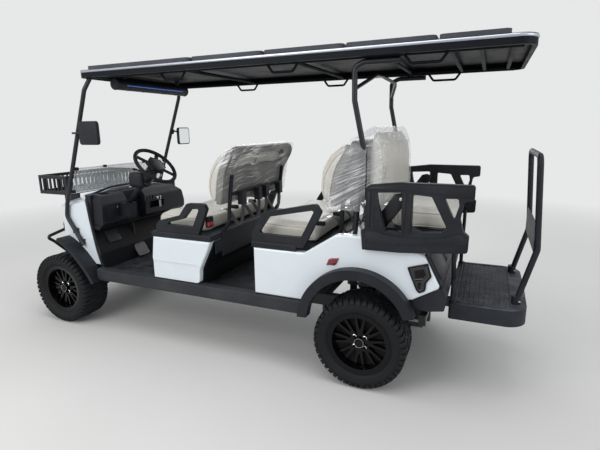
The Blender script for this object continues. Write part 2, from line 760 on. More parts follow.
class Sketch:
    """A growing mesh, in row-frame metres, made of simple closed forms.

    Each form's method gives the sketch back, so that a small piece is one chain of forms.
    """

    def __init__(self) -> None:
        """Starts an empty mesh."""
        self.bm = bmesh.new()

    def skin(self, rings: Sequence[Sequence[Vector]], close: bool = False) -> list:
        """Skins a row of rings that have the same number of points.

        Args:
            rings: The rings' points.
            close: Joins the last ring to the first and leaves out the end faces.

        Returns:
            The new faces.
        """
        rows = [[self.bm.verts.new(p) for p in ring] for ring in rings]
        faces = []
        count = len(rows[0])
        pairs = list(zip(rows, rows[1:])) + ([(rows[-1], rows[0])] if close else [])
        for one, two in pairs:
            for i in range(count):
                j = (i + 1) % count
                faces.append(self.bm.faces.new((one[i], one[j], two[j], two[i])))
        if not close:
            faces.append(self.bm.faces.new(list(reversed(rows[0]))))
            faces.append(self.bm.faces.new(rows[-1]))
        return faces

    def loft(self, rings: Sequence[Sequence[Vector]], close: bool = False) -> "Sketch":
        """Adds a skin over rings; see skin."""
        self.skin(rings, close)
        return self

    def prism(self, outline: Sequence[Vector], travel: Vector, round_by: float = 0.0,
              steps: int = 2) -> "Sketch":
        """Adds an outline pulled along a vector, with rounded edges.

        Args:
            outline: The outline's points, in row-frame metres.
            travel: How far and which way it is pulled, in metres.
            round_by: Radius of the rounding, in millimetres.
            steps: Segments of the rounding.

        Returns:
            The sketch.
        """
        form = Sketch()
        faces = form.skin([outline, [p + travel for p in outline]])
        if round_by > 0.0:
            edges = list(dict.fromkeys(e for f in faces for e in f.edges))
            bmesh.ops.bevel(form.bm, geom=edges, offset=round_by * MM, offset_type="OFFSET",
                            segments=steps, profile=0.5, affect="EDGES", clamp_overlap=True)
        return self.join(form)

    def join(self, form: "Sketch") -> "Sketch":
        """Adds another sketch's forms, so that rounding them can't reorder this one's points.

        Args:
            form: The other sketch, which ends here.

        Returns:
            The sketch.
        """
        mesh = bpy.data.meshes.new("form")
        form.bm.to_mesh(mesh)
        form.bm.free()
        self.bm.from_mesh(mesh)
        bpy.data.meshes.remove(mesh)
        return self

    def block(self, low: Point, high: Point, round_by: float = 0.0, steps: int = 2) -> "Sketch":
        """Adds a rounded block between two corners given in station millimetres.

        Args:
            low: One corner.
            high: The opposite corner.
            round_by: Radius of its edges, in millimetres.
            steps: Segments of the rounding.

        Returns:
            The sketch.
        """
        a, b = station(*low), station(*high)
        base = [Vector((a.x, a.y, a.z)), Vector((b.x, a.y, a.z)), Vector((b.x, b.y, a.z)),
                Vector((a.x, b.y, a.z))]
        return self.prism(base, Vector((0.0, 0.0, b.z - a.z)), round_by, steps)

    def slab(self, points: Outline, near: float, far: float, soft: float = 2.0) -> "Sketch":
        """Adds a side-view outline as a plate.

        Args:
            points: The outline in X and Z, in station millimetres.
            near: Y of its first face.
            far: Y of its second face.
            soft: Radius of its edges, in millimetres.

        Returns:
            The sketch.
        """
        return self.prism(outline_at(points, near), Vector((0.0, (far - near) * MM, 0.0)), soft)

    def plate(self, centre: Point, axis: int, size: tuple, depth: float, soft: float,
              steps: int) -> "Sketch":
        """Adds an upright plate with rounded corners.

        Args:
            centre: The middle of its first face, in station millimetres.
            axis: Axis that it faces along, 0 for X and 1 for Y.
            size: What rounded_loop takes: half width, half height, radius and steps.
            depth: Its thickness, in millimetres.
            soft: Radius of its edges, in millimetres.
            steps: Segments of the rounding.

        Returns:
            The sketch.
        """
        x, y, z = centre
        loop = [station(x + a * axis, y + a * (1 - axis), z + b)
                for a, b in rounded_loop(*size)]
        travel = Vector((0.0, 0.0, 0.0))
        travel[axis] = depth * MM
        return self.prism(loop, travel, soft, steps)

    def tube(self, path: Sequence[Vector], radius: float, sides: int = 12,
             flat: float = 1.0) -> "Sketch":
        """Adds a tube along a path.

        Args:
            path: The path's points, in metres.
            radius: The tube's radius, in metres.
            sides: Sides of its section.
            flat: Height of the section over its width.

        Returns:
            The sketch.
        """
        rings = []
        up = Vector((0.0, 0.0, 1.0))
        for i, here in enumerate(path):
            ahead = path[min(i + 1, len(path) - 1)] - path[max(i - 1, 0)]
            ahead.normalize()
            side = ahead.cross(up)
            if side.length < 0.05:
                side = ahead.cross(Vector((0.0, 1.0, 0.0)))
            side.normalize()
            up = side.cross(ahead).normalized()
            rings.append([here + side * (radius * math.cos(t)) + up * (radius * flat * math.sin(t))
                          for t in (math.tau * k / sides for k in range(sides))])
        return self.loft(rings)

    def hoop(self, path: Sequence[Vector], radius: float, sides: int = 8) -> "Sketch":
        """Adds a tube round a loop, back to its first point."""
        return self.tube([*path, path[0].copy()], radius, sides)

    def ribbon(self, path: Sequence[Vector], across: Vector, width: float,
               thick: float) -> "Sketch":
        """Adds a flat strap along a path.

        Args:
            path: The path's points, in metres.
            across: Direction of the strap's width.
            width: The strap's width, in metres.
            thick: The strap's thickness, in metres.

        Returns:
            The sketch.
        """
        section = ((-1, -0.6), (-0.92, -1), (0.92, -1), (1, -0.6), (1, 0.6), (0.92, 1),
                   (-0.92, 1), (-1, 0.6))
        rings = []
        for i, here in enumerate(path):
            ahead = path[min(i + 1, len(path) - 1)] - path[max(i - 1, 0)]
            up = ahead.cross(across).normalized()
            rings.append([here + across * (sx * width / 2) + up * (sz * thick / 2)
                          for sx, sz in section])
        return self.loft(rings)

    def turned(self, centre: Vector, axis: Vector, profile: Sequence[tuple[float, float]],
               sides: int = 24, closed: bool = False) -> "Sketch":
        """Adds a turned form.

        Args:
            centre: A point on its axis, in metres.
            axis: The axis's direction.
            profile: Pairs of distance along the axis and radius, in millimetres.
            sides: Sides of its rings.
            closed: The profile is a loop that doesn't touch the axis.

        Returns:
            The sketch.
        """
        axis = axis.normalized()
        side = axis.orthogonal().normalized()
        other = axis.cross(side)
        turns = [math.tau * k / sides for k in range(sides)]
        return self.loft([[centre + axis * (along * MM)
                           + (side * math.cos(t) + other * math.sin(t)) * (r * MM)
                           for t in turns] for along, r in profile], closed)

    def bolt(self, centre: Vector, axis: Vector, size: float = 8.0) -> "Sketch":
        """Adds a domed six-sided bolt head on a washer, with its seat at the centre point.

        Args:
            centre: Where it is seated, in metres.
            axis: Direction that its head faces.
            size: Half the head's width, in millimetres.

        Returns:
            The sketch.
        """
        washer = [(-0.3, size * 1.15), (1.2, size * 1.15), (1.5, size)]
        head = [(1.0, size * 0.86), (size * 0.55, size * 0.86), (size * 0.72, size * 0.66)]
        return self.turned(centre, axis, washer, 20).turned(centre, axis, head, 6)

    def mesh(self) -> bpy.types.Mesh:
        """Ends the sketch as a clean mesh with its normals outward.

        Returns:
            The mesh.
        """
        bmesh.ops.remove_doubles(self.bm, verts=self.bm.verts, dist=1e-6)
        bmesh.ops.recalc_face_normals(self.bm, faces=self.bm.faces)
        mesh = bpy.data.meshes.new("sketch")
        self.bm.to_mesh(mesh)
        self.bm.free()
        return mesh

    def piece(self, name: str, finish: Finish, body: Body = Body.CHASSIS,
              angle: float = 35.0) -> bpy.types.Object:
        """Ends the sketch as a piece of the cart; see settle."""
        return settle(name, self.mesh(), finish, body, angle)


@dataclass
class Wheels:
    """The four lugged tyres and the bright parts of their wheels, in millimetres."""

    radius: float = 291.0
    axle_height: float = 292.0
    track_half: float = 518.0
    wheelbase: float = 2567.0
    tyre_steps: int = 144
    lugs: int = 46
    nuts: int = 4
    hub_face: float = 65.0
    cap_seat: float = 82.0
    nut_circle: float = 46.0
    valve_seat: tuple = (66.0, 0.118)
    carcass: Outline = (
        (196, 92), (200, 99), (202.5, 103), (204, 102.6), (206, 106), (213, 111.5), (219, 115),
        (220.5, 116.8), (223, 116.8), (224.5, 117), (233, 120.2), (242, 122), (243.5, 124),
        (246.5, 124), (248, 122.2), (256, 121), (265, 117.5), (272, 112), (278, 104), (283, 90),
        (285.5, 60), (286.5, 30), (286.5, 0))
    bore: Outline = ((190, -86), (188, 0), (190, 86))
    block_plan: Outline = ((4, -0.9), (30, -0.55), (30, -0.15), (36, -0.05), (52, 0.25), (54, 1.0),
                           (26, 0.75), (22, 0.35), (12, 0.30), (6, 0.1))
    nut: Outline = ((-2, 11.2), (12, 11.2), (15.4, 9.6), (16.6, 7.0), (17.0, 2.0))
    nut_seat: Outline = ((-1.5, 13.6), (2.4, 13.6), (4.0, 11.4))
    cap: Outline = ((-14, 31.5), (-2, 31.5), (1.2, 30.4), (1.6, 28.6), (1.6, 27.0), (0.2, 26.0),
                    (0.2, 21.0), (1.8, 20.0), (2.6, 12.0), (2.8, 0.6))
    cap_ring: Outline = ((1.4, 30.0), (2.3, 29.6), (2.3, 28.2), (1.4, 27.8))
    drum: Outline = ((24, 66), (27, 66), (32, 150), (32, 169), (20, 170), (20, 150))
    valve: Outline = ((-6, 5.0), (8, 4.4), (10, 3.2), (24, 3.2), (26, 2.4))

    @staticmethod
    def spin(centre: Vector, radius: float, side: float, turn: float) -> Vector:
        """Point of a wheel at a radius, a distance across it and an angle."""
        return centre + Vector((radius * math.sin(turn), side, radius * math.cos(turn))) * MM

    def tyre(self, centre: Vector) -> Sketch:
        """Draws one tyre: carcass, sidewall ribs, tread blocks and shoulder lugs.

        Args:
            centre: The wheel's centre, in metres.

        Returns:
            The tyre's sketch.
        """
        sketch = Sketch()
        loop = list(self.carcass) + [(r, -y) for r, y in reversed(self.carcass[:-1])]
        loop += self.bore
        sketch.loft([[self.spin(centre, r, y, math.tau * k / self.tyre_steps) for r, y in loop]
                     for k in range(self.tyre_steps)], True)
        pitch = math.tau / self.lugs
        for k in range(self.lugs):
            for side in (-1, 1):
                turn = pitch * (k + (0.5 if side > 0 else 0.0))
                self.lug(sketch, centre, turn, pitch, side, k % 2 == 0)
            self.centre_block(sketch, centre, pitch * k, pitch, -1 if k % 2 else 1)
            self.centre_block(sketch, centre, pitch * (k + 0.5), pitch, 1 if k % 2 else -1)
        return sketch

    def lug(self, sketch: Sketch, centre: Vector, turn: float, pitch: float, side: int,
            long: bool) -> None:
        """Adds one shoulder lug that wraps from the tread on to the sidewall.

        Args:
            sketch: The tyre's sketch.
            centre: The wheel's centre, in metres.
            turn: The lug's angle.
            pitch: Angle from one lug to the next.
            side: Which shoulder, 1 or -1.
            long: It reaches further down the sidewall.
        """
        half = pitch * (0.38 if long else 0.33)
        low = 254 if long else 262
        face = [(287.5, 62), (self.radius, 65), (self.radius, 102), (self.radius - 3.0, 111),
                (281, 119), (low + 8, 124.6), (low, 122.4)]
        skew = pitch * 0.18 * side
        rings = []
        for share, drawn in ((-1.0, 1.4), (-0.84, 0.0), (0.84, 0.0), (1.0, 1.4)):
            ring = [self.spin(centre, r - drawn, side * (y - drawn * 0.6),
                              turn + skew * (115 - y) / 50.0 + half * share) for r, y in face]
            ring.append(self.spin(centre, 262, side * 100, turn + half * share))
            rings.append(ring)
        sketch.loft(rings)

    def centre_block(self, sketch: Sketch, centre: Vector, turn: float, pitch: float,
                     side: int) -> None:
        """Adds one slanted tread block with a notched edge beside the tyre's middle.

        Args:
            sketch: The tyre's sketch.
            centre: The wheel's centre, in metres.
            turn: The block's angle.
            pitch: Angle from one block to the next.
            side: Which half of the tread, 1 or -1.
        """
        half = pitch * 0.34
        plan = self.block_plan
        base = [(281.0, side * (y + 1.2), turn + half * s * 1.05) for y, s in plan]
        mid = [(self.radius - 1.2, side * y, turn + half * s) for y, s in plan]
        top = [(self.radius, side * (2.0 + y * 0.955), turn + half * s * 0.93) for y, s in plan]
        sketch.loft([[self.spin(centre, r, y, t) for r, y, t in loop]
                     for loop in (base, mid, top)])

    def build(self) -> None:
        """Makes the tyres and the fittings of the four wheels."""
        for tag, body, x, side in (("front_left", Body.FRONT_LEFT, 0.0, -1),
                                   ("front_right", Body.FRONT_RIGHT, 0.0, 1),
                                   ("rear_left", Body.REAR_LEFT, self.wheelbase, -1),
                                   ("rear_right", Body.REAR_RIGHT, self.wheelbase, 1)):
            centre = station(x, side * self.track_half, self.axle_height)
            tyre = self.tyre(centre).piece("tyre_" + tag + "_tread", TYRE, body, 32.0)
            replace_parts(tyre, "tyre_" + tag)
            self.fittings(tag, body, centre, outward(side))

    def fittings(self, tag: str, body: Body, centre: Vector, out: Vector) -> None:
        """Makes one wheel's chrome nuts, ringed cap, brake drum's face and valve stem.

        Args:
            tag: Which wheel it is.
            body: The wheel's body.
            centre: The wheel's centre, in metres.
            out: Direction that its outer face looks.
        """
        face = centre + out * (self.hub_face * MM)
        nuts = Sketch()
        for k in range(self.nuts):
            turn = math.tau * (k + 0.5) / self.nuts
            seat = face + Vector((math.sin(turn), 0.0, math.cos(turn))) * (self.nut_circle * MM)
            nuts.turned(seat, out, self.nut, 6).turned(seat, out, self.nut_seat, 20)
        nuts.piece("wheel_nuts_" + tag, CHROME, body, 30.0)
        top = centre + out * (self.cap_seat * MM)
        away, reach = self.valve_seat
        stem = centre + out * (away * MM) + Vector((reach, 0.0, reach))
        Sketch().turned(top, out, self.cap, 40).piece("hub_cap_" + tag, RIM_GLOSS, body, 30.0)
        ring = Sketch().turned(top, out, self.cap_ring, 40, True)
        ring.piece("hub_cap_ring_" + tag, ZINC, body, 30.0)
        drum = Sketch().turned(centre, out, self.drum, 48, True)
        drum.piece("drum_face_" + tag, GRIP, body, 30.0)
        Sketch().turned(stem, out, self.valve, 12).piece("valve_stem_" + tag, GRIP, body)


@dataclass(frozen=True)
class PadForm:
    """One padded piece, drawn as a side profile in station millimetres."""

    name: str
    node: str
    body: Body
    profile: Outline
    half_width: float
    corner: float
    lying: bool
    seams: tuple
    shift: tuple = (0.0, 0.0)
    shrink: float = 8.0
    rounding: float = 20.0
    fill: float = 0.75


@dataclass
class Upholstery:
    """The cream benches: crowned, simulated and seamed pads over their CAD solids."""

    voxel: float = 0.0115
    pressure: float = 4.0
    reach: float = 0.022
    frames: int = 20
    cord: float = 0.0034
    cord_lift: float = 0.0012
    end_panel: float = 78.0
    middle_seam: tuple = (0.0085, 0.010)
    panel_seam: tuple = (0.0045, 0.007)
    cross_seam: tuple = (0.0050, 0.007)
    cross_folds: tuple = (0.0030, 0.040)
    end_folds: tuple = (0.0020, 0.05)
    unevenness: float = 0.0024
    end_angles: tuple = (0, 14, 32, 55, 90)
    slice_step: float = 70.0
    middle: tuple = (838.0, 40.0)
    cushion: Outline = (
        (944, 880), (942, 930), (946, 960), (962, 978), (1000, 982), (1180, 973), (1350, 972),
        (1405, 978), (1424, 962), (1427, 930), (1426, 884), (1410, 869), (1180, 868), (960, 869))
    back: Outline = ((1482, 1072), (1452, 1110), (1442, 1150), (1441, 1210), (1442, 1262),
                     (1454, 1304), (1474, 1344), (1500, 1386), (1526, 1412), (1560, 1442),
                     (1596, 1470), (1612, 1472), (1612, 1450), (1574, 1408), (1541, 1352),
                     (1519, 1290), (1505, 1220), (1499, 1150), (1496, 1074))
    shell: Outline = (
        (1502, 1076), (1504, 1150), (1511, 1222), (1525, 1290), (1547, 1352), (1579, 1406),
        (1617, 1448), (1620, 1470), (1638, 1470), (1652, 1460), (1646, 1438), (1612, 1372),
        (1578, 1306), (1560, 1240), (1550, 1170), (1541, 1090), (1534, 1074))
    recess: Outline = ((-392, 22), (-372, 8), (372, 8), (392, 22), (352, 112), (330, 122),
                       (-330, 122), (-352, 112))
    rear_back: Outline = ((2638, 1078), (2648, 1120), (2652, 1200), (2650, 1300), (2648, 1400),
                          (2636, 1480), (2620, 1552), (2604, 1584), (2580, 1584), (2570, 1560),
                          (2572, 1500), (2573, 1300), (2574, 1080))
    rear_cushion: Outline = ((2683, 1020), (2682, 1070), (2686, 1104), (2702, 1121), (2760, 1124),
                             (2900, 1116), (3040, 1117), (3074, 1112), (3086, 1090), (3087, 1034),
                             (3074, 1013), (2900, 1011), (2700, 1011))

    def forms(self) -> list[PadForm]:
        """The pads, from the tables above.

        Returns:
            One form for each pad.
        """
        rows = ((1000.0, 0.0), (1360.0, 0.0))
        made = []
        for tag, shift in (("front", (0.0, 0.0)), ("middle", self.middle)):
            made.append(PadForm(tag + "_seat_cushion", "seat_cushions", Body.CHASSIS, self.cushion,
                                496.0, 46.0, True, rows, (shift[0], 0.0)))
            made.append(PadForm(tag + "_seat_back", "seat_backs", Body.CHASSIS, self.back, 497.0,
                                84.0, False, ((0.0, 1160.0), (0.0, 1390.0)), shift, 6.0, 16.0))
        made.append(PadForm("rear_bench_cushion", "rear_seat_cushion", Body.REAR_SEAT,
                            self.rear_cushion, 488.0, 70.0, True, ((2740.0, 0.0), (3030.0, 0.0))))
        made.append(PadForm("rear_bench_back", "rear_seat_back", Body.CHASSIS, self.rear_back,
                            476.0, 120.0, False, ((0.0, 1180.0), (0.0, 1500.0)), (0.0, 0.0),
                            7.0, 22.0))
        return made

    def slices(self, form: PadForm) -> list[list[Vector]]:
        """Cross sections of a pad from one end to the other, drawn in at both ends.

        Args:
            form: The pad's form.

        Returns:
            One ring of points for each slice.
        """
        half = form.half_width - form.shrink
        ends = [(form.rounding * (1 - math.cos(t)), form.rounding * (1 - math.sin(t)))
                for t in map(math.radians, self.end_angles)]
        ends += [(d, 0.0) for d in (form.corner * 0.45, form.corner * 0.7, form.corner)
                 if d > form.rounding]
        places = [(half - d, pull) for d, pull in ends]
        inner = max(2, int((half * 2) / self.slice_step))
        reach = places[-1][0]
        row = [(-y, pull) for y, pull in places]
        row += [(-reach + 2 * reach * k / inner, 0.0) for k in range(1, inner)]
        row += list(reversed(places))
        dx, dz = form.shift
        base = [(x + dx, z + dz) for x, z in form.profile]
        xs, zs = zip(*base)
        low, high = min(zs), max(zs)
        span, mid = max(xs) - min(xs), (max(xs) + min(xs)) / 2
        lean = (xs[zs.index(high)] - xs[0]) * 0.35
        rings = []
        for y, pull in row:
            gap = min(form.corner, half - abs(y))
            drop = form.corner - math.sqrt(max(0.0, form.corner ** 2 - (form.corner - gap) ** 2))
            ring = inset(base, form.shrink + pull)
            if form.lying:
                share = 1.0 - 2.0 * drop / span
                ring = [(mid + (x - mid) * share, z) for x, z in ring]
            else:
                share = 1.0 - drop / (high - low)
                ring = [(x - (1.0 - share) * lean * (z - low) / (high - low),
                         low + (z - low) * share) for x, z in ring]
            rings.append([station(x, y, z) for x, z in ring])
        return rings

    def blank(self, form: PadForm) -> bpy.types.Object:
        """Builds a pad's uninflated blank with even cells.

        Args:
            form: The pad's form.

        Returns:
            The blank.
        """
        blank = placed(form.name, Sketch().loft(self.slices(form)).mesh())
        self.modify(blank, "even_cells", "REMESH", mode="VOXEL", voxel_size=self.voxel)
        self.apply(blank)
        return blank

    @staticmethod
    def modify(piece: bpy.types.Object, name: str, kind: str, **settings: object) -> None:
        """Adds a modifier with these settings.

        Args:
            piece: The object.
            name: The modifier's name.
            kind: Blender's type name of the modifier.
            settings: Values by property name.
        """
        modifier = piece.modifiers.new(name, kind)
        for key, value in settings.items():
            setattr(modifier, key, value)

    @staticmethod
    def apply(piece: bpy.types.Object) -> None:
        """Replaces a piece's mesh by its evaluated one and drops its modifiers.

        Args:
            piece: The object.
        """
        graph = bpy.context.evaluated_depsgraph_get()
        mesh = bpy.data.meshes.new_from_object(piece.evaluated_get(graph))
        old = piece.data
        piece.modifiers.clear()
        piece.data = mesh
        bpy.data.meshes.remove(old)

    def inflate(self, pad: bpy.types.Object) -> None:
        """Swells a blank with cloth pressure and caps how far each point moves.

        Args:
            pad: The blank.
        """
        start = [v.co.copy() for v in pad.data.vertices]
        cloth = pad.modifiers.new("pressed_cloth", "CLOTH")
        for key, value in (("quality", 4), ("mass", 0.35), ("use_pressure", True),
                           ("uniform_pressure_force", self.pressure),
                           ("tension_stiffness", 12.0), ("compression_stiffness", 12.0),
                           ("bending_stiffness", 0.8)):
            setattr(cloth.settings, key, value)
        cloth.settings.effector_weights.gravity = 0.0
        cloth.point_cache.frame_start = 1
        cloth.point_cache.frame_end = self.frames
        for frame_number in range(1, self.frames + 1):
            bpy.context.scene.frame_set(frame_number)
        graph = bpy.context.evaluated_depsgraph_get()
        swollen = [v.co.copy() for v in pad.evaluated_get(graph).data.vertices]
        pad.modifiers.clear()
        for vertex, before, after in zip(pad.data.vertices, start, swollen):
            move = after - before
            if move.length > self.reach:
                move *= self.reach / move.length
            vertex.co = before + move
        bpy.context.scene.frame_set(1)

    def sew(self, pad: bpy.types.Object, form: PadForm) -> None:
        """Presses the seams into a pad and lets faint folds run into them.

        Args:
            pad: The swollen pad.
            form: Its form, with the seams' places.
        """
        seed = Vector((3.1, 7.7, 1.3)) * (1.0 + len(form.name))
        normals = [v.normal.copy() for v in pad.data.vertices]
        centre = station(0.0, 0.0, 0.0).y
        dx, dz = form.shift
        lines = [(station(x + dx, 0, 0).x if x else None, (z + dz) * MM if z else None)
                 for x, z in form.seams]
        panel = (form.half_width - self.end_panel) * MM
        for vertex, normal in zip(pad.data.vertices, normals):
            here = vertex.co
            across = here.y - centre
            depth = self.groove(across, self.middle_seam)
            depth += self.groove(abs(across) - panel, self.panel_seam)
            if abs(across) < panel:
                for x, z in lines:
                    gap = here.x - x if x is not None else here.z - z
                    ripple = noise.noise(Vector((0.0, here.y * 46.0, gap * 12.0)) + seed)
                    depth += self.groove(gap, self.cross_seam)
                    depth += ripple * self.groove(gap, self.cross_folds)
            depth += noise.noise((here + seed) * 8.0) * self.unevenness
            ripple = noise.noise(Vector((here.x * 34, across * 7, here.z * 34)) + seed)
            depth += ripple * self.groove(abs(across) - panel, self.end_folds)
            vertex.co -= normal * depth

    @staticmethod
    def groove(gap: float, seam: tuple[float, float]) -> float:
        """Depth of a seam at a distance from its middle line, from its depth and width."""
        depth, width = seam
        return depth * math.exp(-(gap / width) ** 2)

    def build(self) -> None:
        """Makes every pad with its piping and the moulded shells behind the backrests."""
        replaced: set = set()
        for form in self.forms():
            pad = self.blank(form)
            self.inflate(pad)
            self.sew(pad, form)
            self.modify(pad, "fine", "SUBSURF", levels=1, render_levels=1)
            self.apply(pad)
            mesh = pad.data
            bpy.data.objects.remove(pad)
            piece = settle(form.name, mesh, CREAM, form.body, 180.0)
            if form.node not in replaced:
                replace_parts(piece, form.node)
                replaced.add(form.node)
            self.pipe(piece, form)
        for tag, shift in (("front", (0.0, 0.0)), ("middle", self.middle)):
            self.rear_shell(tag, shift)

    def pipe(self, pad: bpy.types.Object, form: PadForm) -> None:
        """Lays a piping cord on the pad round both of its end panels.

        Args:
            pad: The finished pad.
            form: Its form.
        """
        tree = BVHTree.FromPolygons([v.co for v in pad.data.vertices],
                                    [p.vertices for p in pad.data.polygons])
        rings = self.slices(form)
        piping = Sketch()
        for ring in (rings[4], rings[-5]):
            path = []
            for point in even_path(ring, 0.012, True, 6):
                spot, normal, _, _ = tree.find_nearest(point)
                path.append(spot + normal * self.cord_lift)
            piping.hoop(even_path(path, 0.010, True, 2), self.cord)
        piping.piece(form.name + "_piping", CREAM_PIPING, form.body, ROUND)

    def rear_shell(self, tag: str, shift: tuple) -> None:
        """Makes the moulded shell behind a backrest, with the grab recess near its top.

        Args:
            tag: Which bench it belongs to.
            shift: Its distance behind and above the front bench.
        """
        form = PadForm(tag + "_back_shell", "", Body.CHASSIS, self.shell, 494.0, 90.0, False, (),
                       shift, 0.0, 14.0)
        shell = placed(form.name, Sketch().loft(self.slices(form)).mesh())
        base = Vector((1578 + shift[0], 0, 1306 + shift[1]))
        along = Vector((0.4635, 0.0, 0.8861))
        inward = Vector((-0.8861, 0.0, 0.4635))
        cut = Sketch().loft([[station(*(base + along * s + inward * depth + Vector((0, y, 0))))
                              for y, s in self.recess] for depth in (-40.0, 42.0)])
        cutter = placed("recess_cutter", cut.mesh())
        self.modify(shell, "recess", "BOOLEAN", operation="DIFFERENCE", solver="EXACT",
                    object=cutter)
        self.modify(shell, "soft_rim", "BEVEL", width=0.006, segments=3, limit_method="ANGLE",
                    angle_limit=math.radians(50.0))
        self.apply(shell)
        mesh = shell.data
        bpy.data.objects.remove(cutter)
        bpy.data.objects.remove(shell)
        settle(form.name, mesh, SHELL_TAUPE, angle=40.0)
        mesh.materials.append(TRIM_BLACK.material())
        floor = station(*(base + inward * 8.0))
        for face in mesh.polygons:
            inside = (face.center - floor).dot(inward)
            place = (face.center - floor).dot(along)
            across = abs(face.center.y - floor.y)
            within = inside > 0.006 and 0.0 < place < 0.128 and across < 0.39
            if within and face.normal.dot(inward) < 0.6:
                face.material_index = 1
        mesh.update()
        LOG.info("%s: recess lined", form.name)


def flat_line(points: Outline) -> list[Vector]:
    """Points of a side-view line, in station millimetres."""
    return [Vector((x, 0, z)) for x, z in points]


@dataclass(frozen=True)
class FilmForm:
    """A sheet of film pulled over a backrest, in station millimetres.

    The front and rear lines bound its two side walls, bottom to top, and the wrap runs over
    the top and down the back from the front line's top. A wall bulges outward like a tent's
    where its hollow is negative.
    """

    name: str
    front: Outline
    rear: Outline
    wrap: Outline
    half_width: float
    corner: float
    hollow: float


